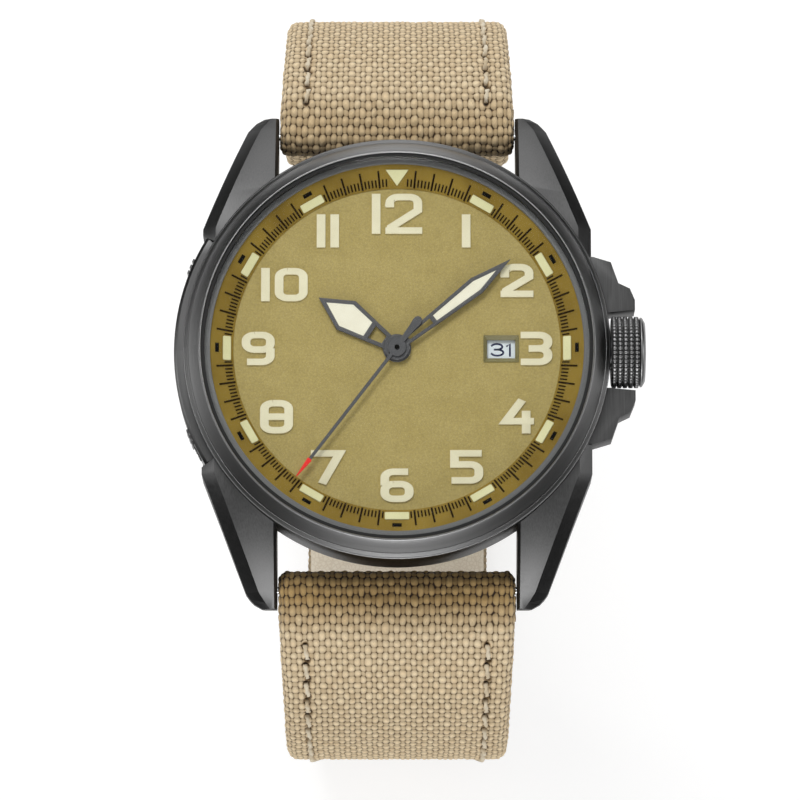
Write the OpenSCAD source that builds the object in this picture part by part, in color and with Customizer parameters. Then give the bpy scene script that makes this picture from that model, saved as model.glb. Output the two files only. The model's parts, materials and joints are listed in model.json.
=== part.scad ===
// Automatic field watch standing on its open strap, dial up
// Dial centre on the Z axis, 12 o'clock towards +Y, crown towards +X, table at Z = 0

/* [Case] */
// Radius of the round case wall
case_r = 21.3; // [20.9:0.1:22]
// Wall between the cavity and the outside
case_wall = 2.3; // [2.1:0.1:2.6]
// Height at which the case wall starts to taper in
wall_low_z = 2.7; // [2.2:0.1:3]
// How far the wall tapers in at the back
case_taper = 0.9; // [0.6:0.1:1.1]
// Width between the lugs
lug_gap = 24.1; // [23.6:0.1:24.6]
// Half of the distance from lug tip to lug tip
lug_reach = 25.4; // [25.2:0.1:26.2]
// Width of a lug at its root
lug_w = 7.5; // [6.8:0.1:8]
// Width of the dark bevel along a lug
lug_bevel = 1.3; // [0.8:0.1:1.8]
// Thickness of the case back flange
back_t = 1; // [0.8:0.1:1.2]
// Radius of the window in the case back
window_r = 13.4; // [12.5:0.1:13.8]
// Thickness of the case back glass
back_glass_t = 1.1; // [0.9:0.1:1.2]
// Number of wrench notches in the case back
back_notches = 6; // [4:1:12]

/* [Bezel and crystal] */
// Radius of the crystal
crystal_r = 19.25; // [19.1:0.05:19.4]
// Thickness of the crystal
crystal_t = 1.3; // [1:0.1:1.8]
// Width of the polished bevel on the crystal
crystal_bevel = 0.5; // [0.3:0.1:0.7]
// Width of the gasket round the crystal
gasket_w = 0.35; // [0.25:0.05:0.4]
// Height of the bezel's outer edge
bezel_edge_h = 0.4; // [0.3:0.1:0.6]
// How far the bezel stands out from the case wall
bezel_lip = 0.1; // [0:0.05:0.2]

/* [Side plate] */
// Half of the angle that the plate at 9 o'clock spans
plate_half_angle = 31; // [26:1:34]
// Thickness of the side plate
side_plate_t = 1.1; // [0.8:0.1:1.3]
// Height of the side plate
side_plate_h = 4; // [3:0.2:4.4]
// Radius of the side plate screws
side_screw_r = 0.8; // [0.6:0.1:1]

/* [Dial] */
// Radius of the visible dial
dial_view_r = 16.4; // [16.2:0.1:16.8]
// Thickness of the dial
dial_t = 0.4; // [0.3:0.05:0.5]
// Height of the sloping chapter ring
chapter_h = 1.05; // [0.9:0.05:1.3]
// Height of the applied numerals
numeral_t = 0.2; // [0.1:0.05:0.25]
// Width of the upright strokes
upright_w = 0.87; // [0.7:0.01:0.95]
// Height of the level strokes
level_w = 0.65; // [0.5:0.01:0.7]
// Height of the small numerals
numeral_h = 3.39; // [3.1:0.01:3.6]
// Height of the 12
twelve_h = 4.1; // [3.8:0.1:4.3]
// Radius on which the centre of a small numeral lies
numeral_orbit = 13.9; // [13.6:0.1:14]
// Length of a lume block
lume_l = 2.44; // [2:0.02:2.6]
// Width of a lume block
lume_w = 0.85; // [0.7:0.05:0.9]
// Distance of the date window from the dial centre
date_x = 10.43; // [10.2:0.01:10.5]
// Width of the date window
date_w = 2.79; // [2.5:0.01:2.8]
// Height of the date window
date_h = 1.83; // [1.6:0.01:2]
// Width of the bevelled date frame
date_frame_w = 0.42; // [0.3:0.02:0.45]

/* [Hands] */
// Length of the hour hand
hour_l = 9.4; // [8.6:0.1:9.8]
// Half of the width of the hour hand
hour_half_w = 1.74; // [1.4:0.02:1.8]
// Length of the minute hand
minute_l = 14.6; // [13.8:0.1:15]
// Half of the width of the minute hand
minute_half_w = 0.96; // [0.9:0.02:1.1]
// Length of the seconds hand
seconds_l = 16.55; // [15.8:0.05:16.8]
// Width of the metal round the lume in the hands
hand_rail = 0.42; // [0.35:0.01:0.45]
// Thickness of the hour and minute hands
hand_t = 0.17; // [0.14:0.01:0.2]
// Angle of the hour hand, clockwise from 12
hour_angle = 303.3; // [0:0.1:360]
// Angle of the minute hand, clockwise from 12
minute_angle = 51.6; // [0:0.1:360]
// Angle of the seconds hand, clockwise from 12
seconds_angle = 217.4; // [0:0.1:360]

/* [Movement] */
// Radius of the movement
move_r = 13.5; // [13.4:0.05:13.55]
// Thickness of the bridges
bridge_t = 0.4; // [0.35:0.05:0.5]
// Space for the train between bridges and main plate
train_h = 2.65; // [2.6:0.05:2.8]
// Thickness of the main plate
plate_t = 1.1; // [1.05:0.05:1.3]
// Depth of the space for the date disc
calendar_h = 0.5; // [0.45:0.05:0.6]
// Radius of the rotor
rotor_r = 13.1; // [12.6:0.1:13.2]
// Thickness of the rotor's heavy rim
rotor_rim_h = 1.1; // [0.9:0.05:1.1]
// Distance of the barrel from the centre
barrel_orbit = 6.8; // [6.75:0.01:6.9]
// Distance of the third wheel from the centre
third_orbit = 5.1; // [5.08:0.01:5.2]
// Distance of the escape wheel from the centre
escape_orbit = 5; // [5:0.01:5.1]
// Distance of the balance from the centre
balance_orbit = 9.1; // [9.05:0.01:9.1]
// Radius of the balance wheel
balance_r = 4.2; // [3.9:0.05:4.2]
// Number of balance spring turns
balance_spring_turns = 9; // [6:1:10]

/* [Crown] */
// Radius of the crown
crown_r = 3.6; // [3.3:0.05:3.65]
// Length of the knurled part of the crown
knurl_l = 2.8; // [2.4:0.1:3]
// Number of knurls round the crown
knurls = 50; // [36:1:60]
// Height of the crown axis over the case back
crown_z = 6.4; // [6.35:0.05:6.45]
// How far the crown pulls out
crown_pull = 1.2; // [0.8:0.1:1.4]
// Height of the crown guards
guard_h = 3.4; // [3:0.1:3.8]
// Radius of the winding stem
stem_r = 0.6; // [0.5:0.05:0.65]

/* [Strap] */
// Width of the strap at the lugs
strap_w = 23.5; // [22.8:0.1:23.5]
// Width of the strap at the buckle
strap_end_w = 20; // [18:0.5:21]
// Thickness of the strap at the lugs
strap_t = 4; // [3.8:0.1:4.1]
// Thickness of the strap further down
strap_thin_t = 2.8; // [2.6:0.1:3]
// Thickness of the lining
lining_t = 1; // [0.8:0.1:1.2]
// Distance of a spring bar from the dial centre
bar_y = 23.4; // [23.4:0.05:23.6]
// Height of a spring bar over the case back
bar_z = 1.2; // [1.1:0.05:1.3]
// Slope at which the strap leaves the lugs
strap_slope = 6.5; // [5:0.5:9]
// Radius of the strap's bend at the wrist
bend_r = 14.5; // [14:0.1:16]
// Length of the straight leg
leg_l = 33.7; // [31:0.1:36]
// Angle by which the leg leans in, towards the wrist
leg_lean = 7.5; // [6:0.5:9]
// Radius of the bend above the table
foot_bend_r = 12.6; // [12.2:0.1:14]
// Length of the flat end that carries the buckle
short_foot_l = 2.4; // [2.2:0.1:3]
// Length of the flat tail
tail_foot_l = 23; // [21:0.5:24]
// Number of holes in the tail
tail_holes = 7; // [5:1:8]
// Distance from hole to hole
hole_pitch = 6; // [5:0.5:6]
// Radius of a spring bar
bar_r = 0.8; // [0.7:0.05:0.9]

/* [Buckle] */
// Clear length in the buckle
buckle_gap = 9.2; // [8.4:0.1:9.4]
// Width of the buckle's metal
buckle_wire = 2.2; // [1.8:0.1:2.4]
// Radius of the buckle's bar
buckle_bar_r = 0.75; // [0.6:0.05:0.8]
// Width of the tongue
tongue_w = 2; // [1.6:0.1:2.1]
// Width of a keeper along the strap
keeper_w = 5; // [4:0.5:5.5]
// Thickness of a keeper
keeper_t = 1.2; // [0.9:0.1:1.3]
// Place of the fixed keeper along the strap
fixed_keeper_s = 66; // [65:0.5:66.5]
// Place of the free keeper along the strap
free_keeper_s = 51; // [48:0.5:52]

/* [Hidden] */
$fn = 96;

// Clearances: turning, between fixed pieces, and between soft pieces
run_gap = 0.05;
fit_gap = 0.05;
soft_gap = 0.3;
over = 1;

// Levels over the case back
glass_z = 0.45;
neck_top_z = back_t + 1.8;
rotor_z = glass_z + back_glass_t + 0.55;
bridge_z = rotor_z + rotor_rim_h + 0.15;
bridge_top_z = bridge_z + bridge_t;
plate_z = bridge_top_z + train_h;
plate_top_z = plate_z + plate_t;
dial_z = plate_top_z + calendar_h;
dial_top_z = dial_z + dial_t;
case_top_z = dial_top_z + 0.1;
lip_z = dial_top_z + chapter_h;
lip_top_z = lip_z + 0.3;
crystal_top_z = lip_top_z + crystal_t;
bezel_top_z = crystal_top_z - 0.25;

// Radii of the case
cavity_r = case_r - case_wall;
lip_r = cavity_r - 0.3;
neck_r = cavity_r + 1.3;
foot_r = case_r - case_taper;
flange_r = foot_r - 0.4;
bezel_in_r = crystal_r + gasket_w;
window_step = 0.9;
holder_in_r = move_r + fit_gap;

// Levels of the hands
hour_z = dial_top_z + numeral_t + 0.04;
minute_z = hour_z + hand_t + 0.13;
seconds_z = minute_z + hand_t + 0.11;
seconds_t = 0.12;
pin_top_z = seconds_z + seconds_t + 0.12;

// Arbors and tubes at the dial centre
pivot_r = 0.12;
jewel_hole_r = pivot_r + run_gap;
jewel_r = 0.5;
jewel_t = 0.25;
second_arbor_r = 0.2;
centre_bore_r = second_arbor_r + run_gap;
cannon_r = 0.72;
hour_bore_r = cannon_r + run_gap;
hour_tube_r = 1.05;
hour_hub_r = 1.43;
seconds_hub_r = 0.92;

// Train levels
fourth_z = bridge_top_z + 0.1;
third_z = fourth_z + 0.3;
ratchet_z = third_z + 0.2;
centre_z = fourth_z + 0.75;
barrel_z = centre_z + 0.45;
escape_z = centre_z + 0.4;
barrel_h = plate_z - 0.1 - barrel_z;
barrel_arbor_r = 0.45;
wheel_t = 0.15;

// Tooth counts
barrel_teeth = 80;
centre_leaves = 12;
centre_teeth = 80;
third_leaves = 10;
third_teeth = 75;
fourth_leaves = 10;
fourth_teeth = 72;
escape_leaves = 8;
escape_teeth = 20;
cannon_leaves = 12;
minute_teeth = 36;
minute_leaves = 10;
hour_teeth = 40;
barrel_module = 2 * barrel_orbit / (barrel_teeth + centre_leaves);
centre_module = 2 * third_orbit / (centre_teeth + third_leaves);
third_module = 2 * third_orbit / (third_teeth + fourth_leaves);
fourth_module = 2 * escape_orbit / (fourth_teeth + escape_leaves);
motion_orbit = 3;
cannon_module = 2 * motion_orbit / (cannon_leaves + minute_teeth);
hour_module = 2 * motion_orbit / (minute_leaves + hour_teeth);
escape_r = 2.2;
barrel_r = barrel_module * barrel_teeth / 2 - 0.45;

// Places of the axes, seen from the dial
function spot(r, a) = [r * cos(a), r * sin(a), 0];
barrel_angle = 60;
third_angle = 150;
escape_angle = -40;
balance_angle = -90;
motion_angle = 200;
barrel_at = spot(barrel_orbit, barrel_angle);
third_at = spot(third_orbit, third_angle);
escape_at = spot(escape_orbit, escape_angle);
balance_at = spot(balance_orbit, balance_angle);
motion_at = spot(motion_orbit, motion_angle);
fork_orbit = 2.55;
fork_line = balance_at - escape_at;
fork_at = escape_at + fork_line * fork_orbit / norm(fork_line);
fork_angle = atan2(fork_line[1], fork_line[0]);
fork_reach = norm(balance_at - fork_at);
screw_orbit = move_r - 1.25;
screw_head_r = 0.7;
screw_stem_r = 0.4;
screw_hole_r = screw_stem_r + 0.02;
barrel_screws = [20, 100];
train_screws = [160, -20];
balance_screws = [-60, -120];

// Crown and its tube
crown_x = case_r + 0.2;
knurl_end_x = crown_x + knurl_l;
crown_end_x = knurl_end_x + 0.7;
tube_r = 1.6;
tube_end_x = crown_x + 1.1;
lever_x = 9.4;

// The strap's middle line: u is the distance from the dial axis, s the length from the spring bar
lead_l = 1;
bend_l = bend_r * (90 + leg_lean - strap_slope) * PI / 180;
leg_s = lead_l + bend_l;
foot_bend_s = leg_s + leg_l;
foot_s = foot_bend_s + foot_bend_r * (90 - leg_lean) * PI / 180;
short_l = foot_s + short_foot_l;
lift = strap_thin_t / 2 + foot_bend_r * (1 - sin(leg_lean)) + leg_l * cos(leg_lean)
    + bend_r * (cos(strap_slope) + sin(leg_lean)) + lead_l * sin(strap_slope) - bar_z;
lead_end = [bar_y + lead_l * cos(strap_slope), lift + bar_z - lead_l * sin(strap_slope)];
bend_centre = lead_end - bend_r * [sin(strap_slope), cos(strap_slope)];
leg_out = [cos(leg_lean), -sin(leg_lean)];
leg_way = [-sin(leg_lean), -cos(leg_lean)];
leg_start = bend_centre + bend_r * leg_out;
foot_centre = leg_start + leg_l * leg_way - foot_bend_r * leg_out;
end_round = strap_thin_t / 2;
buckle_front = end_round + buckle_gap;
tail_l = foot_s + tail_foot_l;
function line_angle(s) = s < lead_l ? -strap_slope
    : s < leg_s ? -strap_slope - (s - lead_l) / bend_r * 180 / PI
    : s < foot_bend_s ? -90 - leg_lean
    : s < foot_s ? -90 - leg_lean - (s - foot_bend_s) / foot_bend_r * 180 / PI
    : -180;
function line_out(s) = [-sin(line_angle(s)), cos(line_angle(s))];
function line_at(s) = s < lead_l ? [bar_y, lift + bar_z] + s * [cos(strap_slope), -sin(strap_slope)]
    : s < leg_s ? bend_centre + bend_r * line_out(s)
    : s < foot_bend_s ? leg_start + (s - leg_s) * leg_way
    : s < foot_s ? foot_centre + foot_bend_r * line_out(s)
    : [foot_centre[0] - (s - foot_s), foot_centre[1] - foot_bend_r];
function strap_thick(s) = lookup(s, [[0, strap_t], [3, strap_t], [leg_s, strap_thin_t]]);
function strap_wide(s) = lookup(s, [[0, strap_w], [short_l, strap_end_w]]);

// Places along the strap at which its section is drawn
turn_step = 1.4;
step_s = 3.2;
nose_steps = 5;
function steps(a, b, d) = [for (i = [1 : ceil((b - a) / d)]) a + (b - a) * i / ceil((b - a) / d)];
lining_s = step_s + 0.3;

// A solid through rings of points
module loft(rings) {
    n = len(rings[0]);
    m = len(rings);
    polyhedron(
        points = [for (ring = rings) for (p = ring) p],
        faces = concat(
            [for (j = [0 : m - 2]) for (i = [0 : n - 1])
                [j * n + i, j * n + (i + 1) % n, (j + 1) * n + (i + 1) % n]],
            [for (j = [0 : m - 2]) for (i = [0 : n - 1])
                [j * n + i, (j + 1) * n + (i + 1) % n, (j + 1) * n + i]],
            [[for (i = [n - 1 : -1 : 0]) i]],
            [[for (i = [0 : n - 1]) (m - 1) * n + i]]));
}

// Moves a piece from the case back's level to its height over the table
module head() {
    translate([0, 0, lift]) children();
}

module ring(r_out, r_in, h) {
    difference() {
        cylinder(r = r_out, h = h);
        translate([0, 0, -over]) cylinder(r = r_in, h = h + 2 * over);
    }
}

// Gear outline with straight-sided teeth, the first tooth centred at angle a
function gear_points(teeth, m, a = 0) = let (r = teeth * m / 2, step = 360 / teeth)
    [for (i = [0 : teeth - 1]) for (k = [
            [r - 1.2 * m, -0.36], [r - 0.1 * m, -0.24], [r + 0.85 * m, -0.12],
            [r + 0.85 * m, 0.12], [r - 0.1 * m, 0.24], [r - 1.2 * m, 0.36]])
        k[0] * [cos(a + (i + k[1]) * step), sin(a + (i + k[1]) * step)]];

module gear(teeth, m, h, a = 0) {
    linear_extrude(h) polygon(gear_points(teeth, m, a));
}

// Angle that puts a gap of a follower where a tooth of its driver points
function mesh_angle(driver_teeth, driver_a, teeth, line) =
    line + 180 + (0.5 + (line - driver_a) / 360 * driver_teeth) * 360 / teeth;

module spokes(count, r_hub, r_rim, w, h) {
    for (i = [0 : count - 1])
        rotate([0, 0, i * 360 / count]) translate([r_hub - 0.1, -w / 2, 0]) cube([r_rim - r_hub + 0.2, w,
            h]);
}

// A train wheel: rim with teeth, spokes and a hub
module wheel(teeth, m, h, a, hub_r) {
    rim_r = teeth * m / 2 - 1.2 * m - 0.35;
    difference() {
        gear(teeth, m, h, a);
        translate([0, 0, -over]) cylinder(r = rim_r, h = h + 2 * over);
    }
    cylinder(r = hub_r, h = h);
    spokes(4, hub_r, rim_r, 0.35, h);
}

// Lug outline in plan: distance from the axis along Y against the outer X
lug_in_x = lug_gap / 2;
lug_root_y = 7.5;
lug_bend_y = 12.5;
lug_tip = lug_reach - 0.1;
function lug_out_x(y) = lookup(y, [[lug_root_y, lug_in_x + lug_w], [lug_bend_y, lug_in_x + lug_w],
    [lug_tip - 1.5, lug_in_x + 3.15], [lug_tip - 0.6, lug_in_x + 2.5], [lug_tip, lug_in_x + 1.5]]);
lug_fall = 6.6;
lug_fall_y = 11;
function lug_top_z(y) = case_top_z - 0.3
    - lug_fall * pow(max(0, y - lug_fall_y) / (lug_tip - lug_fall_y), 2);
function lug_low_z(y) = lookup(y, [[case_r - 3.7, back_t], [bar_y - 1.9, bar_z - 1.6],
    [lug_tip - 1, bar_z - 1.6], [lug_tip, bar_z - 1]]);
function lug_section(y) = let (
        x0 = lug_in_x, x1 = lug_out_x(y), z0 = lug_low_z(y), z1 = lug_top_z(y),
        b = min(lug_bevel, (x1 - x0) * 0.5), c = min(lug_bevel * 0.9, (z1 - z0) * 0.4))
    [[x0, y, z0], [x1 - 0.3, y, z0], [x1, y, z0 + 0.3], [x1, y, z1 - c], [x1 - b, y, z1],
        [x0 + 0.3, y, z1], [x0, y, z1 - 0.3]];

module lug() {
    loft([for (y = concat([lug_root_y, lug_bend_y], steps(lug_bend_y, lug_tip - 1.5, 1.3),
        steps(lug_tip - 1.5, lug_tip, 0.5))) lug_section(y)]);
}

// One crown guard in plan, stepped on the side that faces away from the crown
guard_in_y = crown_r + 0.25;
guard_out_x = case_r + 2.6;
module guard() {
    translate([0, 0, crown_z + 1.35 - guard_h]) linear_extrude(guard_h)
        polygon([[cavity_r - 0.5, guard_in_y], [case_r, guard_in_y], [guard_out_x, guard_in_y + 0.25],
            [guard_out_x, guard_in_y + 1.25], [guard_out_x - 0.5, guard_in_y + 2.45],
            [guard_out_x - 1.65, guard_in_y + 3], [case_r + 0.2, guard_in_y + 5.15],
            [case_r - 1.6, guard_in_y + 5.7], [cavity_r - 0.5, guard_in_y + 5.7]]);
}

side_z = crown_z - 2.9;
side_stem_r = side_screw_r * 0.6;
plate_seat = 0.05;
plate_in_r = case_r - plate_seat + 0.02;
plate_out_r = case_r + side_plate_t;
seat_half_angle = plate_half_angle + 0.15;
screw_half_angle = plate_half_angle - 4;
gasket_groove_r = cavity_r + 0.35;
gasket_groove_w = 0.55;

module case_middle() {
    color([0.2, 0.2, 0.21]) head() difference() {
        union() {
            rotate_extrude() polygon([[cavity_r - 0.6, back_t], [foot_r, back_t], [case_r, wall_low_z],
                [case_r, case_top_z], [neck_r, case_top_z], [neck_r, lip_top_z], [lip_r, lip_top_z],
                [lip_r, lip_z], [cavity_r - 0.6, lip_z]]);
            for (mx = [0, 1]) for (my = [0, 1]) mirror([mx, 0, 0]) mirror([0, my, 0]) lug();
            guard();
            mirror([0, 1, 0]) guard();
        }
        translate([0, 0, -over]) cylinder(r = cavity_r, h = lip_z + over);
        translate([0, 0, lip_z - 0.2]) cylinder(r = lip_r, h = 2);
        translate([0, 0, back_t]) ring(gasket_groove_r + gasket_groove_w, gasket_groove_r, 0.45);
        translate([0, 0, side_z - fit_gap]) rotate([0, 0, 180 - seat_half_angle])
            rotate_extrude(angle = 2 * seat_half_angle) translate([case_r - plate_seat, 0])
                square([4, case_top_z]);
        for (s = [-1, 1]) translate([-lug_in_x - 1.5, s * bar_y, bar_z]) rotate([0, 90, 0])
            cylinder(r = 0.45, h = 2 * lug_in_x + 3);
        translate([cavity_r - over, 0, crown_z]) rotate([0, 90, 0]) cylinder(r = tube_r + 0.02, h = 5);
        for (s = [-1, 1]) rotate([0, 0, 180 + s * screw_half_angle]) translate([case_r - 1.2, 0,
            side_z + side_plate_h / 2])
            rotate([0, 90, 0]) cylinder(r = side_stem_r + 0.02, h = 2);
    }
}

module case_back() {
    color([0.45, 0.45, 0.47]) head() difference() {
        rotate_extrude() polygon([[window_r, 0], [flange_r - 0.4, 0], [flange_r, 0.4], [flange_r, back_t],
            [cavity_r - fit_gap, back_t], [cavity_r - fit_gap, neck_top_z], [window_r + window_step,
                neck_top_z],
            [window_r + window_step, glass_z], [window_r, glass_z]]);
        for (i = [0 : back_notches - 1]) rotate([0, 0, (i + 0.5) * 360 / back_notches])
            translate([flange_r - 1.6, -0.8, -over]) cube([over + 1.6, 1.6, over + 0.45]);
    }
}

module case_back_glass() {
    color([0.8, 0.85, 0.85, 0.3]) head() translate([0, 0, glass_z])
        cylinder(r = window_r + window_step - fit_gap, h = back_glass_t);
}

module case_back_gasket() {
    color([0.05, 0.05, 0.05]) head() translate([0, 0, back_t])
        ring(gasket_groove_r + gasket_groove_w - fit_gap, gasket_groove_r + fit_gap, 0.4);
}

module bezel() {
    edge_r = case_r + bezel_lip;
    color([0.3, 0.3, 0.31]) head() rotate_extrude() polygon([[neck_r + fit_gap, case_top_z], [edge_r,
        case_top_z],
        [edge_r, case_top_z + bezel_edge_h - 0.15], [edge_r - 0.3, case_top_z + bezel_edge_h],
        [edge_r - 0.3, case_top_z + bezel_edge_h + 0.1], [bezel_in_r + 0.15, bezel_top_z],
        [bezel_in_r, bezel_top_z - 0.1], [bezel_in_r, lip_top_z], [neck_r + fit_gap, lip_top_z]]);
}

module crystal() {
    color([0.85, 0.9, 0.92, 0.2]) head() rotate_extrude() polygon([[0, lip_top_z], [crystal_r, lip_top_z],
        [crystal_r, crystal_top_z - 0.3], [crystal_r - crystal_bevel, crystal_top_z], [0,
            crystal_top_z]]);
}

module crystal_gasket() {
    color([0.03, 0.03, 0.03]) head() translate([0, 0, lip_top_z])
        ring(bezel_in_r - 0.02, crystal_r + 0.02, crystal_t - 0.45);
}

// Side plate at 9 o'clock with a raised bar and a screw near each end
module side_plate() {
    color([0.25, 0.25, 0.26]) head() difference() {
        union() {
            translate([0, 0, side_z]) rotate([0, 0, 180 - plate_half_angle])
                rotate_extrude(angle = 2 * plate_half_angle) polygon([[plate_in_r, 0], [plate_out_r - 0.3, 0],
                    [plate_out_r, 0.3], [plate_out_r, side_plate_h - 0.3], [plate_out_r - 0.3, side_plate_h],
                    [plate_in_r, side_plate_h]]);
            for (s = [-1, 1]) for (k = [6.6, 8.2, 9.8])
                rotate([0, 0, 180 + s * (plate_half_angle - k)]) translate([case_r + side_plate_t - 0.2,
                    -0.18, side_z + 0.4])
                    cube([0.4, 0.36, side_plate_h - 0.8]);
        }
        for (s = [-1, 1]) rotate([0, 0, 180 + s * screw_half_angle])
            translate([case_r - 0.5, 0, side_z + side_plate_h / 2]) rotate([0, 90, 0])
                cylinder(r = side_screw_r + 0.02, h = 3);
    }
}

module side_screws() {
    color([0.5, 0.5, 0.52]) head() for (s = [-1, 1]) rotate([0, 0, 180 + s * screw_half_angle])
        translate([case_r, 0, side_z + side_plate_h / 2]) rotate([0, 90, 0]) difference() {
            union() {
                translate([0, 0, 0.1]) cylinder(r = side_screw_r, h = side_plate_t);
                translate([0, 0, -1.1]) cylinder(r = side_stem_r, h = 1.4);
            }
            translate([-side_screw_r - over, -0.12, side_plate_t - 0.2])
                cube([2 * side_screw_r + 2 * over, 0.24, 1]);
        }
}

module movement_holder() {
    color([0.85, 0.85, 0.82]) head() difference() {
        translate([0, 0, neck_top_z]) ring(cavity_r - fit_gap, holder_in_r, dial_z - neck_top_z);
        translate([move_r - over, 0, crown_z]) rotate([0, 90, 0]) cylinder(r = stem_r + 0.4, h = 8);
    }
}

module chapter_ring() {
    color([0.55, 0.47, 0.23]) head() rotate_extrude() polygon([[dial_view_r, dial_top_z],
        [cavity_r - fit_gap, dial_top_z], [cavity_r - fit_gap, lip_z], [lip_r - 0.02, lip_z],
        [dial_view_r, dial_top_z + 0.1]]);
}

// The chapter ring's slope, which the lume blocks lie on
chapter_slope = atan2(chapter_h - 0.1, lip_r - dial_view_r);
module on_chapter(a, r) {
    rotate([0, 0, 90 - a]) translate([r, 0, dial_top_z + 0.1 + (r - dial_view_r) * tan(chapter_slope)])
        rotate([0, -chapter_slope, 0]) children();
}

lume_t = 0.12;
module lume_blocks() {
    color([0.82, 0.8, 0.64]) head() {
        for (i = [1 : 11]) on_chapter(i * 30, dial_view_r + 0.65)
            translate([-lume_w / 2, -lume_l / 2, 0.005]) cube([lume_w, lume_l, lume_t]);
        on_chapter(0, dial_view_r + 0.2) translate([0, 0, 0.005]) linear_extrude(lume_t)
            polygon([[0.05, 0], [1.6, -1.15], [1.6, 1.15]]);
    }
}

dial_foot_r = 0.35;
dial_foot_angles = [125, 305];
module dial() {
    color([0.67, 0.6, 0.38]) head() {
        difference() {
            translate([0, 0, dial_z]) cylinder(r = cavity_r - fit_gap, h = dial_t);
            translate([0, 0, dial_z - over]) cylinder(r = hour_tube_r + 0.1, h = dial_t + 2 * over);
            translate([date_x - date_w / 2, -date_h / 2, dial_z - over]) cube([date_w, date_h,
                dial_t + 2 * over]);
        }
        for (a = dial_foot_angles) translate(spot(move_r - 0.7, a) + [0, 0, plate_top_z - 0.3])
            cylinder(r = dial_foot_r, h = calendar_h + 0.35);
    }
}

// Numeral strokes. The path is offset in a space where both stroke widths are the same
stretch = level_w / upright_w;
function unit(v) = v / norm(v);
function left_of(v) = [-v[1], v[0]];
function squeeze(p) = [p[0] * stretch, p[1]];
function edge_at(p, i, side) = let (
        q = squeeze(p[i]),
        a = i > 0 ? unit(q - squeeze(p[i - 1])) : unit(squeeze(p[1]) - q),
        b = i < len(p) - 1 ? unit(squeeze(p[i + 1]) - q) : a,
        n = unit(left_of(a) + left_of(b)),
        e = q + side * level_w / 2 / max(0.5, n * left_of(a)) * n)
    [e[0] / stretch, e[1]];
function stroke(p) = concat([for (i = [0 : len(p) - 1]) edge_at(p, i, 1)],
    [for (i = [len(p) - 1 : -1 : 0]) edge_at(p, i, -1)]);
function arc(c, rx, ry, a0, a1, n = 6) = [for (i = [0 : n])
    c + [rx * cos(a0 + (a1 - a0) * i / n), ry * sin(a0 + (a1 - a0) * i / n)]];

// Strokes of each digit in a box of width w and height h, standing on the origin's line
function digit(d, w, h) = let (
        x0 = upright_w / 2, x1 = w - upright_w / 2, y0 = level_w / 2, y1 = h - level_w / 2,
        ym = (y0 + y1) / 2, rx = min(0.85, (x1 - x0) / 2), ry = min(0.6, (y1 - y0) / 4),
        cut = 0.45)
    d == 0 || d == 6 || d == 8 || d == 9 ? let (
            lo = d == 9 ? ym - 0.12 : y0,
            hi = d == 6 ? ym + 0.12 : y1)
        concat(
            [concat(arc([x0 + rx, hi - ry], rx, ry, 90, 180), arc([x0 + rx, lo + ry], rx, ry, 180, 270),
                [[(x0 + x1) / 2, lo]])],
            [concat([[(x0 + x1) / 2, lo]], arc([x1 - rx, lo + ry], rx, ry, 270, 360),
                arc([x1 - rx, hi - ry], rx, ry, 0, 90), [[x0 + rx, hi]])],
            d == 8 ? [[[x0, ym], [x1, ym]]] : [],
            d == 6 ? [concat([[x0, ym]], arc([x0 + rx, y1 - ry], rx, ry, 180, 90), [[x1 - 0.1,
                y1]])] : [],
            d == 9 ? [concat([[x1, ym]], arc([x1 - rx, y0 + ry], rx, ry, 0, -90), [[x0 + 0.1, y0]])] : [])
    : d == 1 ? [[[w - upright_w / 2, 0], [w - upright_w / 2, h]]]
    : d == 2 ? [concat([[x0, y1 - ry - cut], [x0, y1 - ry]], arc([x0 + rx, y1 - ry], rx, ry, 180, 90),
            arc([x1 - rx, y1 - ry], rx, ry, 90, 0), [[x1, ym + 0.35], [x0 + 0.15, y0 + 0.35], [x0 + 0.15,
                y0 + 0.01]]),
            [[x0 - upright_w / 2, y0], [w, y0]]]
    : d == 3 ? [concat([[x0 - 0.3, y1]], arc([x1 - rx, y1 - ry], rx, ry, 90, 0), arc([x1 - rx, ym + ry],
        rx, ry, 0, -90),
            [[x0 + 0.5, ym]]),
            concat([[x0 + 0.5, ym]], arc([x1 - rx, ym - ry], rx, ry, 90, 0), arc([x1 - rx, y0 + ry], rx,
                ry, 0, -90),
                [[x0 - 0.3, y0]])]
    : d == 4 ? [[[x1 - 0.75, h], [x0 + 0.05, ym - 0.45], [w, ym - 0.45]], [[x1 - 0.35, 0], [x1 - 0.35,
        ym + 0.6]]]
    : d == 5 ? [concat([[w - 0.15, y1], [x0, y1], [x0, ym + 0.25]], arc([x1 - rx, ym + 0.25 - ry], rx, ry,
        90, 0),
            arc([x1 - rx, y0 + ry], rx, ry, 0, -90), [[x0 - 0.3, y0]])]
    : [[[0, y1], [x1, y1], [x0 + 0.7, 0]]];

// Numerals: hour, digits, width of each digit, and how tall
small_w = 3.3;
digit_gap = 0.5;
module number(digits, widths, h) {
    starts = [for (i = [0 : len(digits)]) i == 0 ? 0 : widths[0] + digit_gap];
    total = len(digits) == 1 ? widths[0] : widths[0] + digit_gap + widths[1];
    translate([-total / 2, -h / 2, 0]) for (i = [0 : len(digits) - 1]) translate([starts[i], 0, 0])
        for (line = digit(digits[i], widths[i], h)) linear_extrude(numeral_t) polygon(stroke(line));
}

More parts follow.
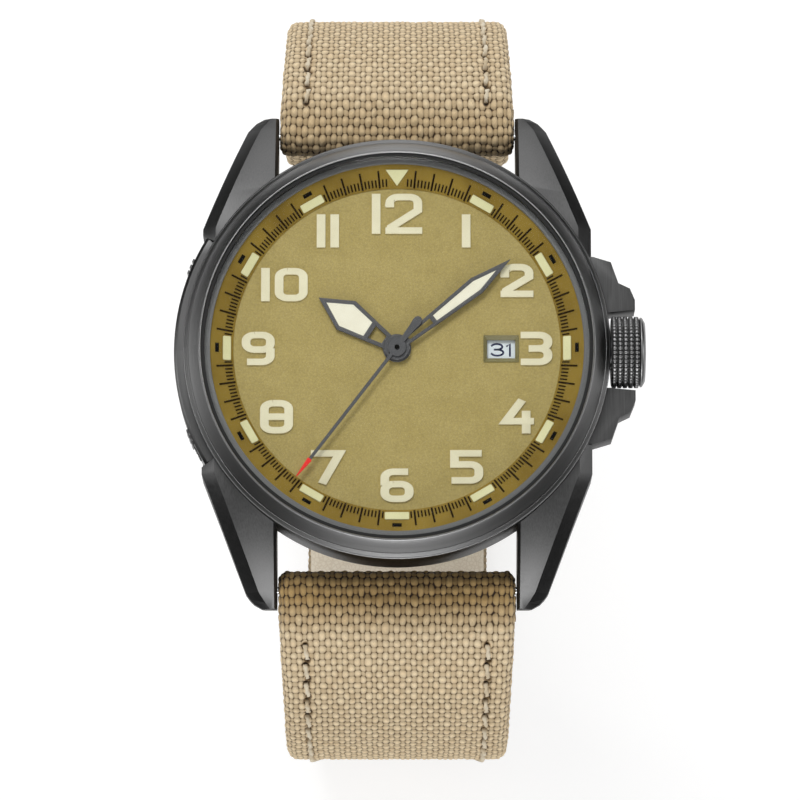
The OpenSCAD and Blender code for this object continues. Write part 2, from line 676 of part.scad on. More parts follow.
wide_number_shift = 0.85;
function number_orbit(i) = numeral_orbit - (i == 9 ? wide_number_shift : 0);
hour_digits = [[1], [2], [3], [4], [5], [6], [7], [8], [9], [1, 0], [1, 1]];
module numerals() {
    color([0.86, 0.84, 0.74]) head() translate([0, 0, dial_top_z]) {
        for (i = [0 : 10]) translate(number_orbit(i) * [sin((i + 1) * 30), cos((i + 1) * 30), 0])
            number(hour_digits[i], [for (d = hour_digits[i]) d == 1 ? upright_w : small_w], numeral_h);
        translate([0, numeral_orbit - 0.1, 0]) number([1, 2], [upright_w, small_w + 0.4], twelve_h);
    }
}

module date_frame() {
    color([0.8, 0.78, 0.7]) head() translate([date_x, 0, dial_top_z]) difference() {
        translate([-date_w / 2 - date_frame_w, -date_h / 2 - date_frame_w, 0])
            cube([date_w + 2 * date_frame_w, date_h + 2 * date_frame_w, 0.12]);
        translate([-date_w / 2, -date_h / 2, -over]) cube([date_w, date_h, 2 * over + 1]);
    }
}

disc_in_r = date_x - 1.75;
disc_out_r = date_x + 1.75;
module date_disc() {
    color([0.9, 0.95, 1]) head() translate([0, 0, plate_top_z + 0.1]) difference() {
        cylinder(r = disc_out_r, h = 0.2);
        translate([0, 0, -over]) linear_extrude(2 * over + 1)
            polygon([for (i = [0 : 30]) for (k = [[disc_in_r, 0], [disc_in_r, 0.55], [disc_in_r - 0.6,
                0.75], [disc_in_r - 0.6, 0.8]])
                k[0] * [cos((i + k[1]) * 360 / 31), sin((i + k[1]) * 360 / 31)]]);
    }
}

// Hands, drawn towards +Y
module turned(a) {
    rotate([0, 0, -a]) children();
}

hour_shoulder = hour_l * 0.65;
hour_bar = hour_l * 0.33;
hour_slope = (hour_half_w - 0.35) / (hour_shoulder - 0.9);
function hour_rail_x(y) = 0.35 + (y - 0.9) * hour_slope - hand_rail;

module hour_hand() {
    color([0.28, 0.28, 0.29]) head() turned(hour_angle) translate([0, 0, hour_z]) difference() {
        union() {
            cylinder(r = hour_hub_r, h = hand_t);
            linear_extrude(hand_t) polygon([[-0.5, 0.9], [-hour_half_w, hour_shoulder], [0, hour_l],
                [hour_half_w, hour_shoulder], [0.5, 0.9]]);
        }
        translate([0, 0, -over]) linear_extrude(2 * over + 1) hour_opening(0);
        translate([0, 0, -over]) cylinder(r = hour_tube_r + 0.01, h = 2 * over + 1);
    }
}

module hour_opening(gap) {
    polygon([[-hour_rail_x(hour_bar) + gap, hour_bar + gap], [-hour_half_w + hand_rail + gap,
        hour_shoulder],
        [0, hour_l - 2.1 * hand_rail - gap], [hour_half_w - hand_rail - gap, hour_shoulder],
        [hour_rail_x(hour_bar) - gap, hour_bar + gap]]);
}

module hour_hand_lume() {
    color([0.94, 0.93, 0.87]) head() turned(hour_angle) translate([0, 0, hour_z + 0.02])
        linear_extrude(hand_t - 0.04) hour_opening(0.01);
}

minute_wide = minute_l * 0.7;
minute_bar = minute_l * 0.33;
minute_slope = (minute_half_w - 0.3) / (minute_wide - 0.6);
function minute_rail_x(y) = 0.3 + (y - 0.6) * minute_slope - hand_rail;

module minute_opening(gap) {
    polygon([[-minute_rail_x(minute_bar) + gap, minute_bar + gap], [-minute_half_w + hand_rail + gap,
        minute_wide],
        [0, minute_l - 4.4 * hand_rail - gap], [minute_half_w - hand_rail - gap, minute_wide],
        [minute_rail_x(minute_bar) - gap, minute_bar + gap]]);
}

module minute_hand() {
    color([0.28, 0.28, 0.29]) head() turned(minute_angle) translate([0, 0, minute_z]) difference() {
        union() {
            cylinder(r = hour_hub_r - 0.15, h = hand_t);
            linear_extrude(hand_t) polygon([[-0.3, 0.6], [-minute_half_w, minute_wide], [0, minute_l],
                [minute_half_w, minute_wide], [0.3, 0.6]]);
        }
        translate([0, 0, -over]) linear_extrude(2 * over + 1) minute_opening(0);
        translate([0, 0, -over]) cylinder(r = cannon_r + 0.01, h = 2 * over + 1);
    }
}

module minute_hand_lume() {
    color([0.94, 0.93, 0.87]) head() turned(minute_angle) translate([0, 0, minute_z + 0.02])
        linear_extrude(hand_t - 0.04) minute_opening(0.01);
}

module seconds_hand() {
    color([0.28, 0.28, 0.29]) head() turned(seconds_angle) translate([0, 0, seconds_z]) difference() {
        union() {
            cylinder(r = seconds_hub_r, h = seconds_t + 0.1);
            linear_extrude(seconds_t) polygon([[-0.16, 0], [-0.16, seconds_l - 2.3], [-0.22,
                seconds_l - 2.2],
                [0, seconds_l], [0.22, seconds_l - 2.2], [0.16, seconds_l - 2.3], [0.16, 0],
                [0.42, -3.2], [0.3, -3.85], [-0.3, -3.85], [-0.42, -3.2]]);
        }
        translate([0, 0, -over]) cylinder(r = second_arbor_r + 0.01, h = 2 * over + 1);
    }
}

// Main plate with its recess for the motion works, jewel seats and screw seats
module main_plate() {
    color([0.75, 0.72, 0.62]) head() difference() {
        union() {
            translate([0, 0, plate_z]) cylinder(r = move_r, h = plate_t);
            translate([0, 0, plate_top_z - 0.5]) translate(motion_at) cylinder(r = 0.2, h = 0.7);
        }
        translate([0, 0, plate_top_z - 0.4]) difference() {
            union() {
                cylinder(r = hour_module * hour_teeth / 2 + 0.35, h = 1);
                translate(motion_at) cylinder(r = cannon_module * minute_teeth / 2 + 0.35, h = 1);
            }
            translate(motion_at) cylinder(r = 0.2, h = 1);
        }
        translate([0, 0, plate_z - over]) cylinder(r = 0.55 + run_gap, h = plate_t + 2 * over);
        for (p = [third_at, escape_at, fork_at, balance_at]) translate(p + [0, 0, plate_z - over])
            cylinder(r = jewel_r, h = over + jewel_t);
        translate(barrel_at + [0, 0, plate_z - over]) cylinder(r = 0.5 + run_gap, h = over + 0.6);
        for (a = concat(barrel_screws, train_screws, balance_screws)) translate(spot(screw_orbit, a) + [0,
            0, plate_z - over])
            cylinder(r = screw_hole_r, h = over + 0.7);
        for (a = dial_foot_angles) translate(spot(move_r - 0.7, a) + [0, 0, plate_top_z - 0.35])
            cylinder(r = dial_foot_r + 0.03, h = 1);
        translate([lever_x - 1.6, 0, crown_z]) rotate([0, 90, 0]) cylinder(r = stem_r + run_gap, h = 8);
        translate([lever_x - 0.8, -1.4, plate_z - over]) cube([2.6 + crown_pull, 2.8,
            over + crown_z - plate_z + 0.7]);
    }
}

module bridge(outline, screws, seats) {
    difference() {
        union() {
            translate([0, 0, bridge_z]) intersection() {
                cylinder(r = move_r - 0.2, h = bridge_t);
                translate([0, 0, -over]) linear_extrude(bridge_t + 2 * over) polygon(outline);
            }
            for (a = screws) translate(spot(screw_orbit, a) + [0, 0, bridge_z + 0.1])
                cylinder(r = 0.95, h = plate_z - bridge_z - 0.1);
        }
        for (a = screws) translate(spot(screw_orbit, a)) {
            translate([0, 0, bridge_z - over]) cylinder(r = screw_hole_r, h = train_h + 3);
            translate([0, 0, bridge_z - over]) cylinder(r = screw_head_r + 0.02, h = over + 0.25);
        }
        for (p = seats) translate(p + [0, 0, bridge_z - over]) cylinder(r = jewel_r,
            h = bridge_t + 2 * over);
    }
}

module barrel_bridge() {
    color([0.8, 0.8, 0.78]) head() difference() {
        bridge([[14, 2.7], [1.5, 2.7], [-6.5, 8.1], [-6.5, 14], [14, 14]], barrel_screws, []);
        translate(barrel_at + [0, 0, bridge_z - over]) cylinder(r = barrel_arbor_r + 0.02,
            h = bridge_t + 2 * over);
    }
}

module train_bridge() {
    color([0.8, 0.8, 0.78]) head() difference() {
        bridge([[-14, -6.1], [14, -6.1], [14, 2.4], [1.4, 2.4], [-6.8, 7.9], [-6.8, 14], [-14, 14]],
            train_screws, [third_at, escape_at, fork_at]);
        translate([0, 0, bridge_z - over]) cylinder(r = second_arbor_r + run_gap,
            h = bridge_t + 2 * over);
    }
}

module balance_bridge() {
    y = balance_at[1];
    color([0.8, 0.8, 0.78]) head() bridge([[-7.4, y - 2.7], [7.4, y - 2.7], [7, y - 0.3], [1.6, y + 1.1],
        [-1.6, y + 1.1], [-7, y - 0.3]], balance_screws, [balance_at]);
}

module bridge_screws() {
    color([0.3, 0.35, 0.55]) head() for (a = concat(barrel_screws, train_screws, balance_screws))
        translate(spot(screw_orbit, a) + [0, 0, bridge_z + 0.02]) difference() {
            union() {
                cylinder(r = screw_head_r, h = 0.22);
                cylinder(r = screw_stem_r, h = plate_z - bridge_z + 0.6);
            }
            translate([-1, -0.09, -over]) cube([2, 0.18, over + 0.1]);
        }
}

module jewels() {
    color([0.7, 0.1, 0.25]) head() for (p = [third_at, escape_at, fork_at, balance_at])
        for (z = [bridge_z + 0.02, plate_z]) translate(p + [0, 0, z])
            ring(jewel_r - 0.01, jewel_hole_r, jewel_t);
}

module barrel() {
    color([0.8, 0.68, 0.35]) head() translate(barrel_at + [0, 0, barrel_z]) difference() {
        union() {
            gear(barrel_teeth, barrel_module, 0.3, barrel_angle + 180);
            cylinder(r = barrel_r, h = barrel_h);
        }
        translate([0, 0, 0.15]) cylinder(r = barrel_r - 0.3, h = barrel_h - 0.3);
        translate([0, 0, -over]) cylinder(r = 0.5 + run_gap, h = barrel_h + 2 * over);
    }
}

spring_turns = 7;
module mainspring() {
    n = spring_turns * 18;
    function r_at(i) = 1.1 + (barrel_r - 1.6) * i / n;
    color([0.75, 0.77, 0.8]) head() translate(barrel_at + [0, 0, barrel_z + 0.2])
        linear_extrude(barrel_h - 0.4)
        polygon(concat([for (i = [0 : n]) r_at(i) * [cos(i * 20), sin(i * 20)]],
            [for (i = [n : -1 : 0]) (r_at(i) + 0.12) * [cos(i * 20), sin(i * 20)]]));
}

// The barrel's arbor, with the ratchet wheel that holds the spring wound
module ratchet_wheel() {
    color([0.7, 0.7, 0.72]) head() translate(barrel_at) {
        translate([0, 0, ratchet_z]) linear_extrude(wheel_t) polygon([for (i = [0 : 47]) for (k = [[3.6,
            0], [3.3, 0.05]])
            k[0] * [cos((i + k[1]) * 7.5), sin((i + k[1]) * 7.5)]]);
        translate([0, 0, bridge_z + 0.05]) cylinder(r = barrel_arbor_r, h = plate_z - bridge_z + 0.4);
        translate([0, 0, barrel_z + 0.2]) cylinder(r = 1, h = barrel_h - 0.4);
    }
}

// Centre wheel with its hollow arbor and cannon pinion
first_a = 0;
third_a = mesh_angle(centre_teeth, first_a, third_leaves, third_angle);
fourth_a = mesh_angle(third_teeth, third_a, fourth_leaves, third_angle + 180);
escape_a = mesh_angle(fourth_teeth, fourth_a, escape_leaves, escape_angle);
centre_pinion_a = mesh_angle(barrel_teeth, barrel_angle + 180, centre_leaves, barrel_angle + 180);
minute_a = mesh_angle(cannon_leaves, first_a, minute_teeth, motion_angle);
hour_a = mesh_angle(minute_leaves, minute_a, hour_teeth, motion_angle + 180);

module centre_wheel() {
    color([0.8, 0.68, 0.35]) head() difference() {
        union() {
            translate([0, 0, centre_z]) wheel(centre_teeth, centre_module, wheel_t, first_a, 1.2);
            translate([0, 0, centre_z]) cylinder(r = 0.5, h = plate_top_z - centre_z);
            translate([0, 0, barrel_z - 0.05]) gear(centre_leaves, barrel_module, 0.45, centre_pinion_a);
            translate([0, 0, plate_top_z - 0.37]) gear(cannon_leaves, cannon_module, 0.25, first_a);
            translate([0, 0, plate_top_z - 0.13]) cylinder(r = cannon_r,
                h = minute_z + hand_t + 0.03 - plate_top_z + 0.13);
        }
        cylinder(r = centre_bore_r, h = pin_top_z);
    }
}

module third_wheel() {
    color([0.8, 0.68, 0.35]) head() translate(third_at) {
        translate([0, 0, third_z]) wheel(third_teeth, third_module, wheel_t, third_a, 0.8);
        translate([0, 0, centre_z - 0.1]) gear(third_leaves, centre_module, 0.35, third_a);
        translate([0, 0, bridge_z + 0.05]) cylinder(r = pivot_r, h = plate_z + 0.2 - bridge_z);
    }
}

module fourth_wheel() {
    color([0.8, 0.68, 0.35]) head() {
        translate([0, 0, fourth_z]) wheel(fourth_teeth, fourth_module, wheel_t, fourth_a, 0.9);
        translate([0, 0, third_z - 0.1]) gear(fourth_leaves, third_module, 0.35, fourth_a);
        translate([0, 0, bridge_z + 0.1]) cylinder(r = second_arbor_r, h = pin_top_z - bridge_z - 0.1);
    }
}

module escape_wheel() {
    color([0.75, 0.77, 0.8]) head() translate(escape_at) {
        translate([0, 0, escape_z]) {
            difference() {
                linear_extrude(wheel_t) polygon([for (i = [0 : escape_teeth - 1])
                    for (k = [[escape_r - 0.55, 0], [escape_r - 0.5, 0.2], [escape_r, 0.62],
                        [escape_r - 0.04, 0.72], [escape_r - 0.5, 0.5]])
                        k[0] * [cos((i + k[1]) * 360 / escape_teeth), sin((i + k[1])
                            * 360 / escape_teeth)]]);
                translate([0, 0, -over]) cylinder(r = escape_r - 0.85, h = 3);
            }
            cylinder(r = 0.45, h = wheel_t);
            spokes(4, 0.45, escape_r - 0.85, 0.22, wheel_t);
        }
        translate([0, 0, fourth_z - 0.05]) gear(escape_leaves, fourth_module, 0.3, escape_a);
        translate([0, 0, bridge_z + 0.05]) cylinder(r = pivot_r, h = plate_z + 0.2 - bridge_z);
    }
}

// Fork with its two pallet stones, drawn with the balance towards +X
roller_pin_at = 0.64;
roller_pin_r = 0.07;
notch_x = fork_reach - roller_pin_at + 0.04;
module pallet_fork() {
    color([0.75, 0.77, 0.8]) head() translate(fork_at) rotate([0, 0, fork_angle]) {
        translate([0, 0, escape_z - 0.01]) {
            cylinder(r = 0.4, h = 0.18);
            linear_extrude(0.18) polygon([[0, -0.2], [notch_x - 0.5, -0.12], [notch_x - 0.4, -0.35],
                [notch_x, -0.35],
                [notch_x, -0.18], [notch_x - 0.3, -0.18], [notch_x - 0.3, 0.18], [notch_x, 0.18],
                [notch_x, 0.35], [notch_x - 0.4, 0.35], [notch_x - 0.5, 0.12], [0, 0.2]]);
            for (s = [-1, 1]) linear_extrude(0.18) polygon([[0.25, 0], [-0.1, s * 1.35], [-0.4, s * 1.3],
                [-0.15, 0]]);
            for (s = [-1, 1]) translate([-fork_orbit, 0, 0]) rotate([0, 0, s * 30])
                translate([escape_r + 0.06, -0.12, 0]) cube([0.4, 0.24, 0.18]);
        }
        translate([0, 0, bridge_z + 0.05]) cylinder(r = pivot_r, h = plate_z + 0.2 - bridge_z);
    }
}

balance_z = centre_z - 0.05;
module balance_wheel() {
    color([0.82, 0.72, 0.4]) head() translate(balance_at) {
        translate([0, 0, balance_z]) {
            ring(balance_r, balance_r - 0.45, 0.3);
            spokes(3, 0.5, balance_r - 0.45, 0.4, 0.15);
            cylinder(r = 0.5, h = 0.2);
        }
        translate([0, 0, escape_z + 0.25]) cylinder(r = roller_pin_at + 0.16, h = 0.15);
        translate([0, 0, escape_z - 0.05]) rotate([0, 0, fork_angle + 180]) translate([roller_pin_at, 0,
            0])
            cylinder(r = roller_pin_r, h = 0.35);
        translate([0, 0, bridge_z + 0.05]) cylinder(r = pivot_r, h = plate_z + 0.2 - bridge_z);
    }
}

balance_spring_r = 2.7;
balance_spring_z = bridge_top_z + 0.2;
module balance_spring() {
    n = balance_spring_turns * 20;
    function r_at(i) = 0.35 + (balance_spring_r - 0.35) * i / n;
    color([0.35, 0.4, 0.65]) head() translate(balance_at + [0, 0, balance_spring_z]) {
        linear_extrude(0.15) polygon(concat([for (i = [0 : n]) r_at(i) * [cos(i * 18), sin(i * 18)]],
            [for (i = [n : -1 : 0]) (r_at(i) + 0.06) * [cos(i * 18), sin(i * 18)]]));
        ring(0.4, pivot_r + 0.01, 0.15);
    }
}

module minute_wheel() {
    color([0.8, 0.68, 0.35]) head() translate(motion_at) difference() {
        union() {
            translate([0, 0, plate_top_z - 0.36]) gear(minute_teeth, cannon_module, 0.18, minute_a);
            translate([0, 0, plate_top_z - 0.2]) gear(minute_leaves, hour_module, 0.36, minute_a);
        }
        translate([0, 0, plate_top_z - over]) cylinder(r = 0.2 + run_gap, h = 3);
    }
}

module hour_wheel() {
    color([0.8, 0.68, 0.35]) head() difference() {
        union() {
            translate([0, 0, plate_top_z - 0.02]) gear(hour_teeth, hour_module, wheel_t, hour_a);
            translate([0, 0, plate_top_z - 0.02]) cylinder(r = hour_tube_r,
                h = hour_z + hand_t - plate_top_z + 0.02);
        }
        translate([0, 0, plate_top_z - over]) cylinder(r = hour_bore_r, h = 3);
    }
}

// Rotor: half disc with a heavy rim, hung on a bearing at the centre
post_r = 1.2;
module rotor() {
    color([0.72, 0.72, 0.74]) head() difference() {
        union() {
            translate([0, 0, rotor_z + 0.4]) cylinder(r = 3.1, h = 0.3);
            translate([0, 0, rotor_z + 0.4]) rotate_extrude(angle = 180) square([rotor_r - 1, 0.3]);
            translate([0, 0, rotor_z]) rotate_extrude(angle = 180) translate([rotor_r - 2.6, 0])
                square([2.6, rotor_rim_h]);
        }
        translate([0, 0, rotor_z - over]) cylinder(r = post_r + run_gap, h = 3);
        for (a = [40, 90, 140]) rotate([0, 0, a]) translate([6.8, 0, rotor_z - over]) cylinder(r = 1.7,
            h = 3);
    }
}

module rotor_bearing() {
    color([0.85, 0.85, 0.86]) head() {
        translate([0, 0, rotor_z]) cylinder(r = post_r + 0.7, h = 0.35);
        translate([0, 0, rotor_z]) cylinder(r = post_r, h = bridge_z - rotor_z);
    }
}

// Setting lever with the peg that rides in the stem's groove
module setting_lever() {
    color([0.72, 0.73, 0.75]) head() {
        translate([lever_x, -1.2, crown_z - stem_r - 0.45]) cube([0.6, 2.4, 0.35]);
        translate([lever_x + 0.3, 0, crown_z - stem_r - 0.2]) cylinder(r = 0.2, h = 0.35);
    }
}

module along_x(x) {
    translate([x, 0, crown_z]) rotate([0, 90, 0]) children();
}

function knurl_points() = [for (i = [0 : knurls - 1]) for (k = [[crown_r - 0.25, 0], [crown_r - 0.25,
    0.25], [crown_r, 0.45], [crown_r, 0.8]])
    k[0] * [cos((i + k[1]) * 360 / knurls), sin((i + k[1]) * 360 / knurls)]];

module crown() {
    color([0.25, 0.25, 0.26]) head() difference() {
        union() {
            along_x(crown_x) linear_extrude(knurl_l) polygon(knurl_points());
            along_x(knurl_end_x) rotate_extrude() polygon([[0, -0.1], [crown_r - 0.4, -0.1],
                [crown_r - 0.4, 0],
                [crown_r - 0.1, 0.1], [crown_r - 0.15, 0.3], [crown_r - 0.6,
                    crown_end_x - knurl_end_x - 0.1],
                [0, crown_end_x - knurl_end_x]]);
        }
        along_x(crown_x - over) cylinder(r = tube_r + 0.4, h = over + 1.6);
        along_x(crown_x - over) cylinder(r = stem_r, h = over + 2.6);
    }
}

module crown_gasket() {
    color([0.05, 0.05, 0.05]) head() along_x(crown_x + 0.3) ring(tube_r + 0.38, tube_r + 0.03, 0.6);
}

module stem() {
    color([0.75, 0.76, 0.78]) head() difference() {
        along_x(lever_x - 1.4) cylinder(r = stem_r, h = crown_x + 2.6 - lever_x + 1.4);
        along_x(lever_x + 0.02) ring(stem_r + 1, stem_r - 0.25, 0.56);
    }
}

module crown_tube() {
    color([0.6, 0.6, 0.62]) head() along_x(cavity_r)
        ring(tube_r, stem_r + run_gap, tube_end_x - cavity_r);
}

module spring_bar() {
    head() translate([0, bar_y, bar_z]) rotate([0, 90, 0]) {
        translate([0, 0, -lug_in_x + 0.15]) cylinder(r = bar_r, h = lug_gap - 0.3);
        translate([0, 0, -lug_in_x - 1.3]) cylinder(r = 0.4, h = lug_gap + 2.6);
    }
}

module spring_bar_12() {
    color([0.7, 0.7, 0.72]) spring_bar();
}

module spring_bar_6() {
    color([0.7, 0.7, 0.72]) mirror([0, 1, 0]) spring_bar();
}

// One ring of the strap: x and the offset outwards from the middle line, as a rounded box
edge_round = 1.1;
function rounded(w, lo, hi) = let (h = w / 2, r = min(edge_round, (hi - lo) * 0.45))
    concat([[-h, lo + 0.15], [-h + 0.3, lo], [h - 0.3, lo], [h, lo + 0.15]],
        [for (a = [0 : 30 : 90]) [h - r + r * cos(a), hi - r + r * sin(a)]],
        [for (a = [90 : 30 : 180]) [-h + r + r * cos(a), hi - r + r * sin(a)]]);
function placed(s, section) = [for (p = section)
    [p[0], line_at(s)[0] + line_out(s)[0] * p[1], line_at(s)[1] + line_out(s)[1] * p[1]]];
function nose(i) = -sqrt(1 - pow(1 - i / nose_steps, 2));

// Cover of one strap half, round at the spring bar
module cover(end_s, tip_l) {
    run = concat(steps(lining_s, leg_s, turn_step), steps(leg_s, foot_bend_s, 6),
        steps(foot_bend_s, foot_s, turn_step), steps(foot_s, end_s - tip_l, 6),
        tip_l > 0 ? [for (i = [1 : 5]) end_s - tip_l + tip_l * sin(i * 18)] : []);
    function tip_share(s) = s > end_s - tip_l && tip_l > 0 ? 1 - 0.75 * pow((s - end_s + tip_l) / tip_l,
        2.5) : 1;
    loft(concat(
        [for (i = [nose_steps : -1 : 1]) let (h = strap_t / 2 * sin(90 * (1 - (i - 0.3) / nose_steps)),
                s = -strap_t / 2 * cos(90 * (1 - (i - 0.3) / nose_steps)))
            placed(s, rounded(strap_w, -h, h))],
        [for (s = [0, 1, step_s]) placed(s, rounded(strap_wide(s), -strap_thick(s) / 2, strap_thick(s)
            / 2))],
        [placed(lining_s - 0.25, rounded(strap_wide(lining_s), lining_t - strap_thick(lining_s) / 2,
            strap_thick(lining_s) / 2))],
        [for (s = run) placed(s, rounded(strap_wide(s) * tip_share(s), lining_t - strap_thick(s) / 2,
            strap_thick(s) / 2))]));
}

module lining(end_s, tip_l) {
    run = concat([lining_s], steps(lining_s, leg_s, turn_step), steps(leg_s, foot_bend_s, 6),
        steps(foot_bend_s, foot_s, turn_step), steps(foot_s, end_s - tip_l, 6),
        tip_l > 0 ? [for (i = [1 : 5]) end_s - tip_l + tip_l * sin(i * 18)] : []);
    function tip_share(s) = s > end_s - tip_l && tip_l > 0 ? 1 - 0.75 * pow((s - end_s + tip_l) / tip_l,
        2.5) : 1;
    loft([for (s = run) placed(s, [for (p = [[-0.5, 0], [0.5, 0], [0.5, 1], [-0.5, 1]])
        [p[0] * (strap_wide(s) * tip_share(s) - 0.6), -strap_thick(s) / 2 + p[1] * (lining_t - 0.01)]])]);
}

// Turns a piece drawn at the origin, with +X along the strap and +Z outwards, into its place at length s
module on_line(s) {
    translate([0, line_at(s)[0], line_at(s)[1]]) rotate([line_angle(s), 0, 0]) rotate([0, 0, 90])
        mirror([0, 1, 0]) children();
}

through_l = 2 * lug_gap;
module bar_bore(s, r) {
    on_line(s) rotate([90, 0, 0]) cylinder(r = r, h = through_l, center = true);
}

slot_w = tongue_w + 0.8;
wrap_l = 2;
wrap_r = end_round - 0.02;
module strap_12_cover() {
    color([0.75, 0.63, 0.47]) difference() {
        union() {
            cover(short_l - wrap_l + 0.2, 0);
            on_line(short_l) translate([-wrap_l, 0, 0]) rotate([90, 0, 0])
                translate([0, 0, -strap_end_w / 2]) linear_extrude(strap_end_w) short_end();
        }
        bar_bore(0, bar_r + run_gap);
        bar_bore(short_l, buckle_bar_r + run_gap);
        on_line(short_l) translate([-wrap_l + 0.1, -slot_w / 2, -5]) cube([6, slot_w, 10]);
    }
}

// Side view of the end that wraps round the buckle bar, whose axis is wrap_l past the origin
module short_end() {
    polygon(concat([[0, wrap_r], [0, -wrap_r]],
        [for (a = [-90 : 15 : 90]) [wrap_l + wrap_r * cos(a), wrap_r * sin(a)]]));
}

module strap_12_lining() {
    color([0.6, 0.47, 0.33]) lining(short_l - wrap_l - 0.1, 0);
}

tail_tip_l = 9;
hole_end_l = 12;
first_hole_s = tail_l - hole_end_l - (tail_holes - 1) * hole_pitch;
module tail_hole_cuts() {
    for (i = [0 : tail_holes - 1]) on_line(first_hole_s + i * hole_pitch) translate([0, 0, -5])
        cylinder(r = 1.1, h = 10);
}

module strap_6_cover() {
    color([0.75, 0.63, 0.47]) mirror([0, 1, 0]) difference() {
        cover(tail_l, tail_tip_l);
        bar_bore(0, bar_r + run_gap);
        tail_hole_cuts();
    }
}

module strap_6_lining() {
    color([0.6, 0.47, 0.33]) mirror([0, 1, 0]) difference() {
        lining(tail_l, tail_tip_l);
        tail_hole_cuts();
    }
}

// Buckle, drawn with the bar at the origin and +X towards its front
buckle_in_w = strap_end_w + 2 * soft_gap;
buckle_out_w = buckle_in_w + 2 * buckle_wire;
module buckle_frame() {
    color([0.25, 0.25, 0.26]) on_line(short_l) difference() {
        union() {
            for (s = [-1, 1]) translate([0, s * (buckle_in_w + buckle_wire) / 2, 0]) {
                rotate([90, 0, 0]) translate([0, 0, -buckle_wire / 2]) cylinder(r = end_round,
                    h = buckle_wire);
                translate([0, -buckle_wire / 2, -end_round]) cube([buckle_front + 1, buckle_wire,
                    2 * end_round]);
            }
            translate([buckle_front, -buckle_out_w / 2, -end_round]) cube([buckle_wire - 0.8,
                buckle_out_w, 2 * end_round]);
            translate([buckle_front + buckle_wire - 0.9, -buckle_out_w / 2 + 0.8, -end_round + 0.5])
                cube([0.8, buckle_out_w - 1.6, 2 * end_round - 1]);
        }
        translate([buckle_front - over, -tongue_w / 2 - 0.2, end_round - 1.15])
            cube([buckle_wire + 2 * over, tongue_w + 0.4, 3]);
        rotate([90, 0, 0]) cylinder(r = buckle_bar_r + 0.02, h = through_l, center = true);
    }
}

module buckle_bar() {
    color([0.7, 0.7, 0.72]) on_line(short_l) rotate([90, 0, 0]) translate([0, 0, -buckle_out_w / 2 + 0.3])
        cylinder(r = buckle_bar_r, h = buckle_out_w - 0.6);
}

module buckle_tongue() {
    color([0.25, 0.25, 0.26]) on_line(short_l) difference() {
        union() {
            rotate([90, 0, 0]) translate([0, 0, -tongue_w / 2]) cylinder(r = end_round - 0.1,
                h = tongue_w);
            rotate([90, 0, 0]) translate([0, 0, -tongue_w / 2]) linear_extrude(tongue_w) polygon([[0,
                end_round - 0.11],
                [buckle_front + 0.9, end_round - 0.11], [buckle_front + 1.3, end_round - 0.5],
                [buckle_front + 1.2, end_round - 1.05], [1.1, end_round - 1.05], [0.8, 0.5]]);
        }
        rotate([90, 0, 0]) cylinder(r = buckle_bar_r + run_gap, h = through_l, center = true);
    }
}

// A keeper round the strap at length s, opened by sag where the strap bends
module keeper(s, w, sag) {
    in_w = w + 2 * soft_gap;
    in_t = strap_thin_t + 2 * (soft_gap + sag);
    on_line(s) difference() {
        translate([-keeper_w / 2, -in_w / 2 - keeper_t, -in_t / 2 - keeper_t])
            cube([keeper_w, in_w + 2 * keeper_t, in_t + 2 * keeper_t]);
        translate([-keeper_w / 2 - over, -in_w / 2, -in_t / 2]) cube([keeper_w + 2 * over, in_w, in_t]);
    }
}

free_keeper_travel = 12;
module fixed_keeper() {
    color([0.68, 0.56, 0.4]) keeper(fixed_keeper_s, strap_wide(fixed_keeper_s - keeper_w / 2),
        pow(keeper_w, 2) / 8 / (foot_bend_r - end_round));
}

module free_keeper() {
    color([0.68, 0.56, 0.4]) keeper(free_keeper_s,
        strap_wide(free_keeper_s - free_keeper_travel - keeper_w / 2), 0);
}

case_middle();
case_back();
case_back_glass();
case_back_gasket();
bezel();
crystal();
crystal_gasket();
side_plate();
side_screws();
movement_holder();
chapter_ring();
lume_blocks();
dial();
numerals();
date_frame();
date_disc();
hour_hand();
hour_hand_lume();
minute_hand();
minute_hand_lume();
seconds_hand();
main_plate();
barrel_bridge();
train_bridge();
balance_bridge();
bridge_screws();
jewels();
barrel();
mainspring();
ratchet_wheel();
centre_wheel();
third_wheel();
fourth_wheel();
escape_wheel();
pallet_fork();
balance_wheel();
balance_spring();
minute_wheel();
hour_wheel();
rotor();
rotor_bearing();
setting_lever();
crown();
stem();
crown_gasket();
crown_tube();
spring_bar_12();
spring_bar_6();
strap_12_cover();
strap_12_lining();
strap_6_cover();
strap_6_lining();
buckle_frame();
buckle_bar();
buckle_tongue();
fixed_keeper();
free_keeper();
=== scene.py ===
import json
import math

import bmesh
import bpy
import numpy as np
from mathutils import Matrix, Vector


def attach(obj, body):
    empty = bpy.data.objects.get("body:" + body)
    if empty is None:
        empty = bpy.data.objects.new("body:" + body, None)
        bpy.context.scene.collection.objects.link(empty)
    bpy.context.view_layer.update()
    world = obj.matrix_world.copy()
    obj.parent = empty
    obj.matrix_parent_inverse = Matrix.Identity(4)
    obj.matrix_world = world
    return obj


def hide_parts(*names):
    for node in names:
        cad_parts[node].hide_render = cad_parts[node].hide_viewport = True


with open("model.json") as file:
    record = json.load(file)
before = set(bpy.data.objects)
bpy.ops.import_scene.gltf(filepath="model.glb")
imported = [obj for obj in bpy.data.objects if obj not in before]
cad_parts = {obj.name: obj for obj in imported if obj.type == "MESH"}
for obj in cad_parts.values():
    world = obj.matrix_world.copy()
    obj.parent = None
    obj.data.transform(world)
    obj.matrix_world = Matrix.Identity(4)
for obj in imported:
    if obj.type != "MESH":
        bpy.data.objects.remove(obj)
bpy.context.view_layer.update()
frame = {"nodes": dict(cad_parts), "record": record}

# Sizes are in millimetres here and turn into metres where a mesh is made
MM = 0.001
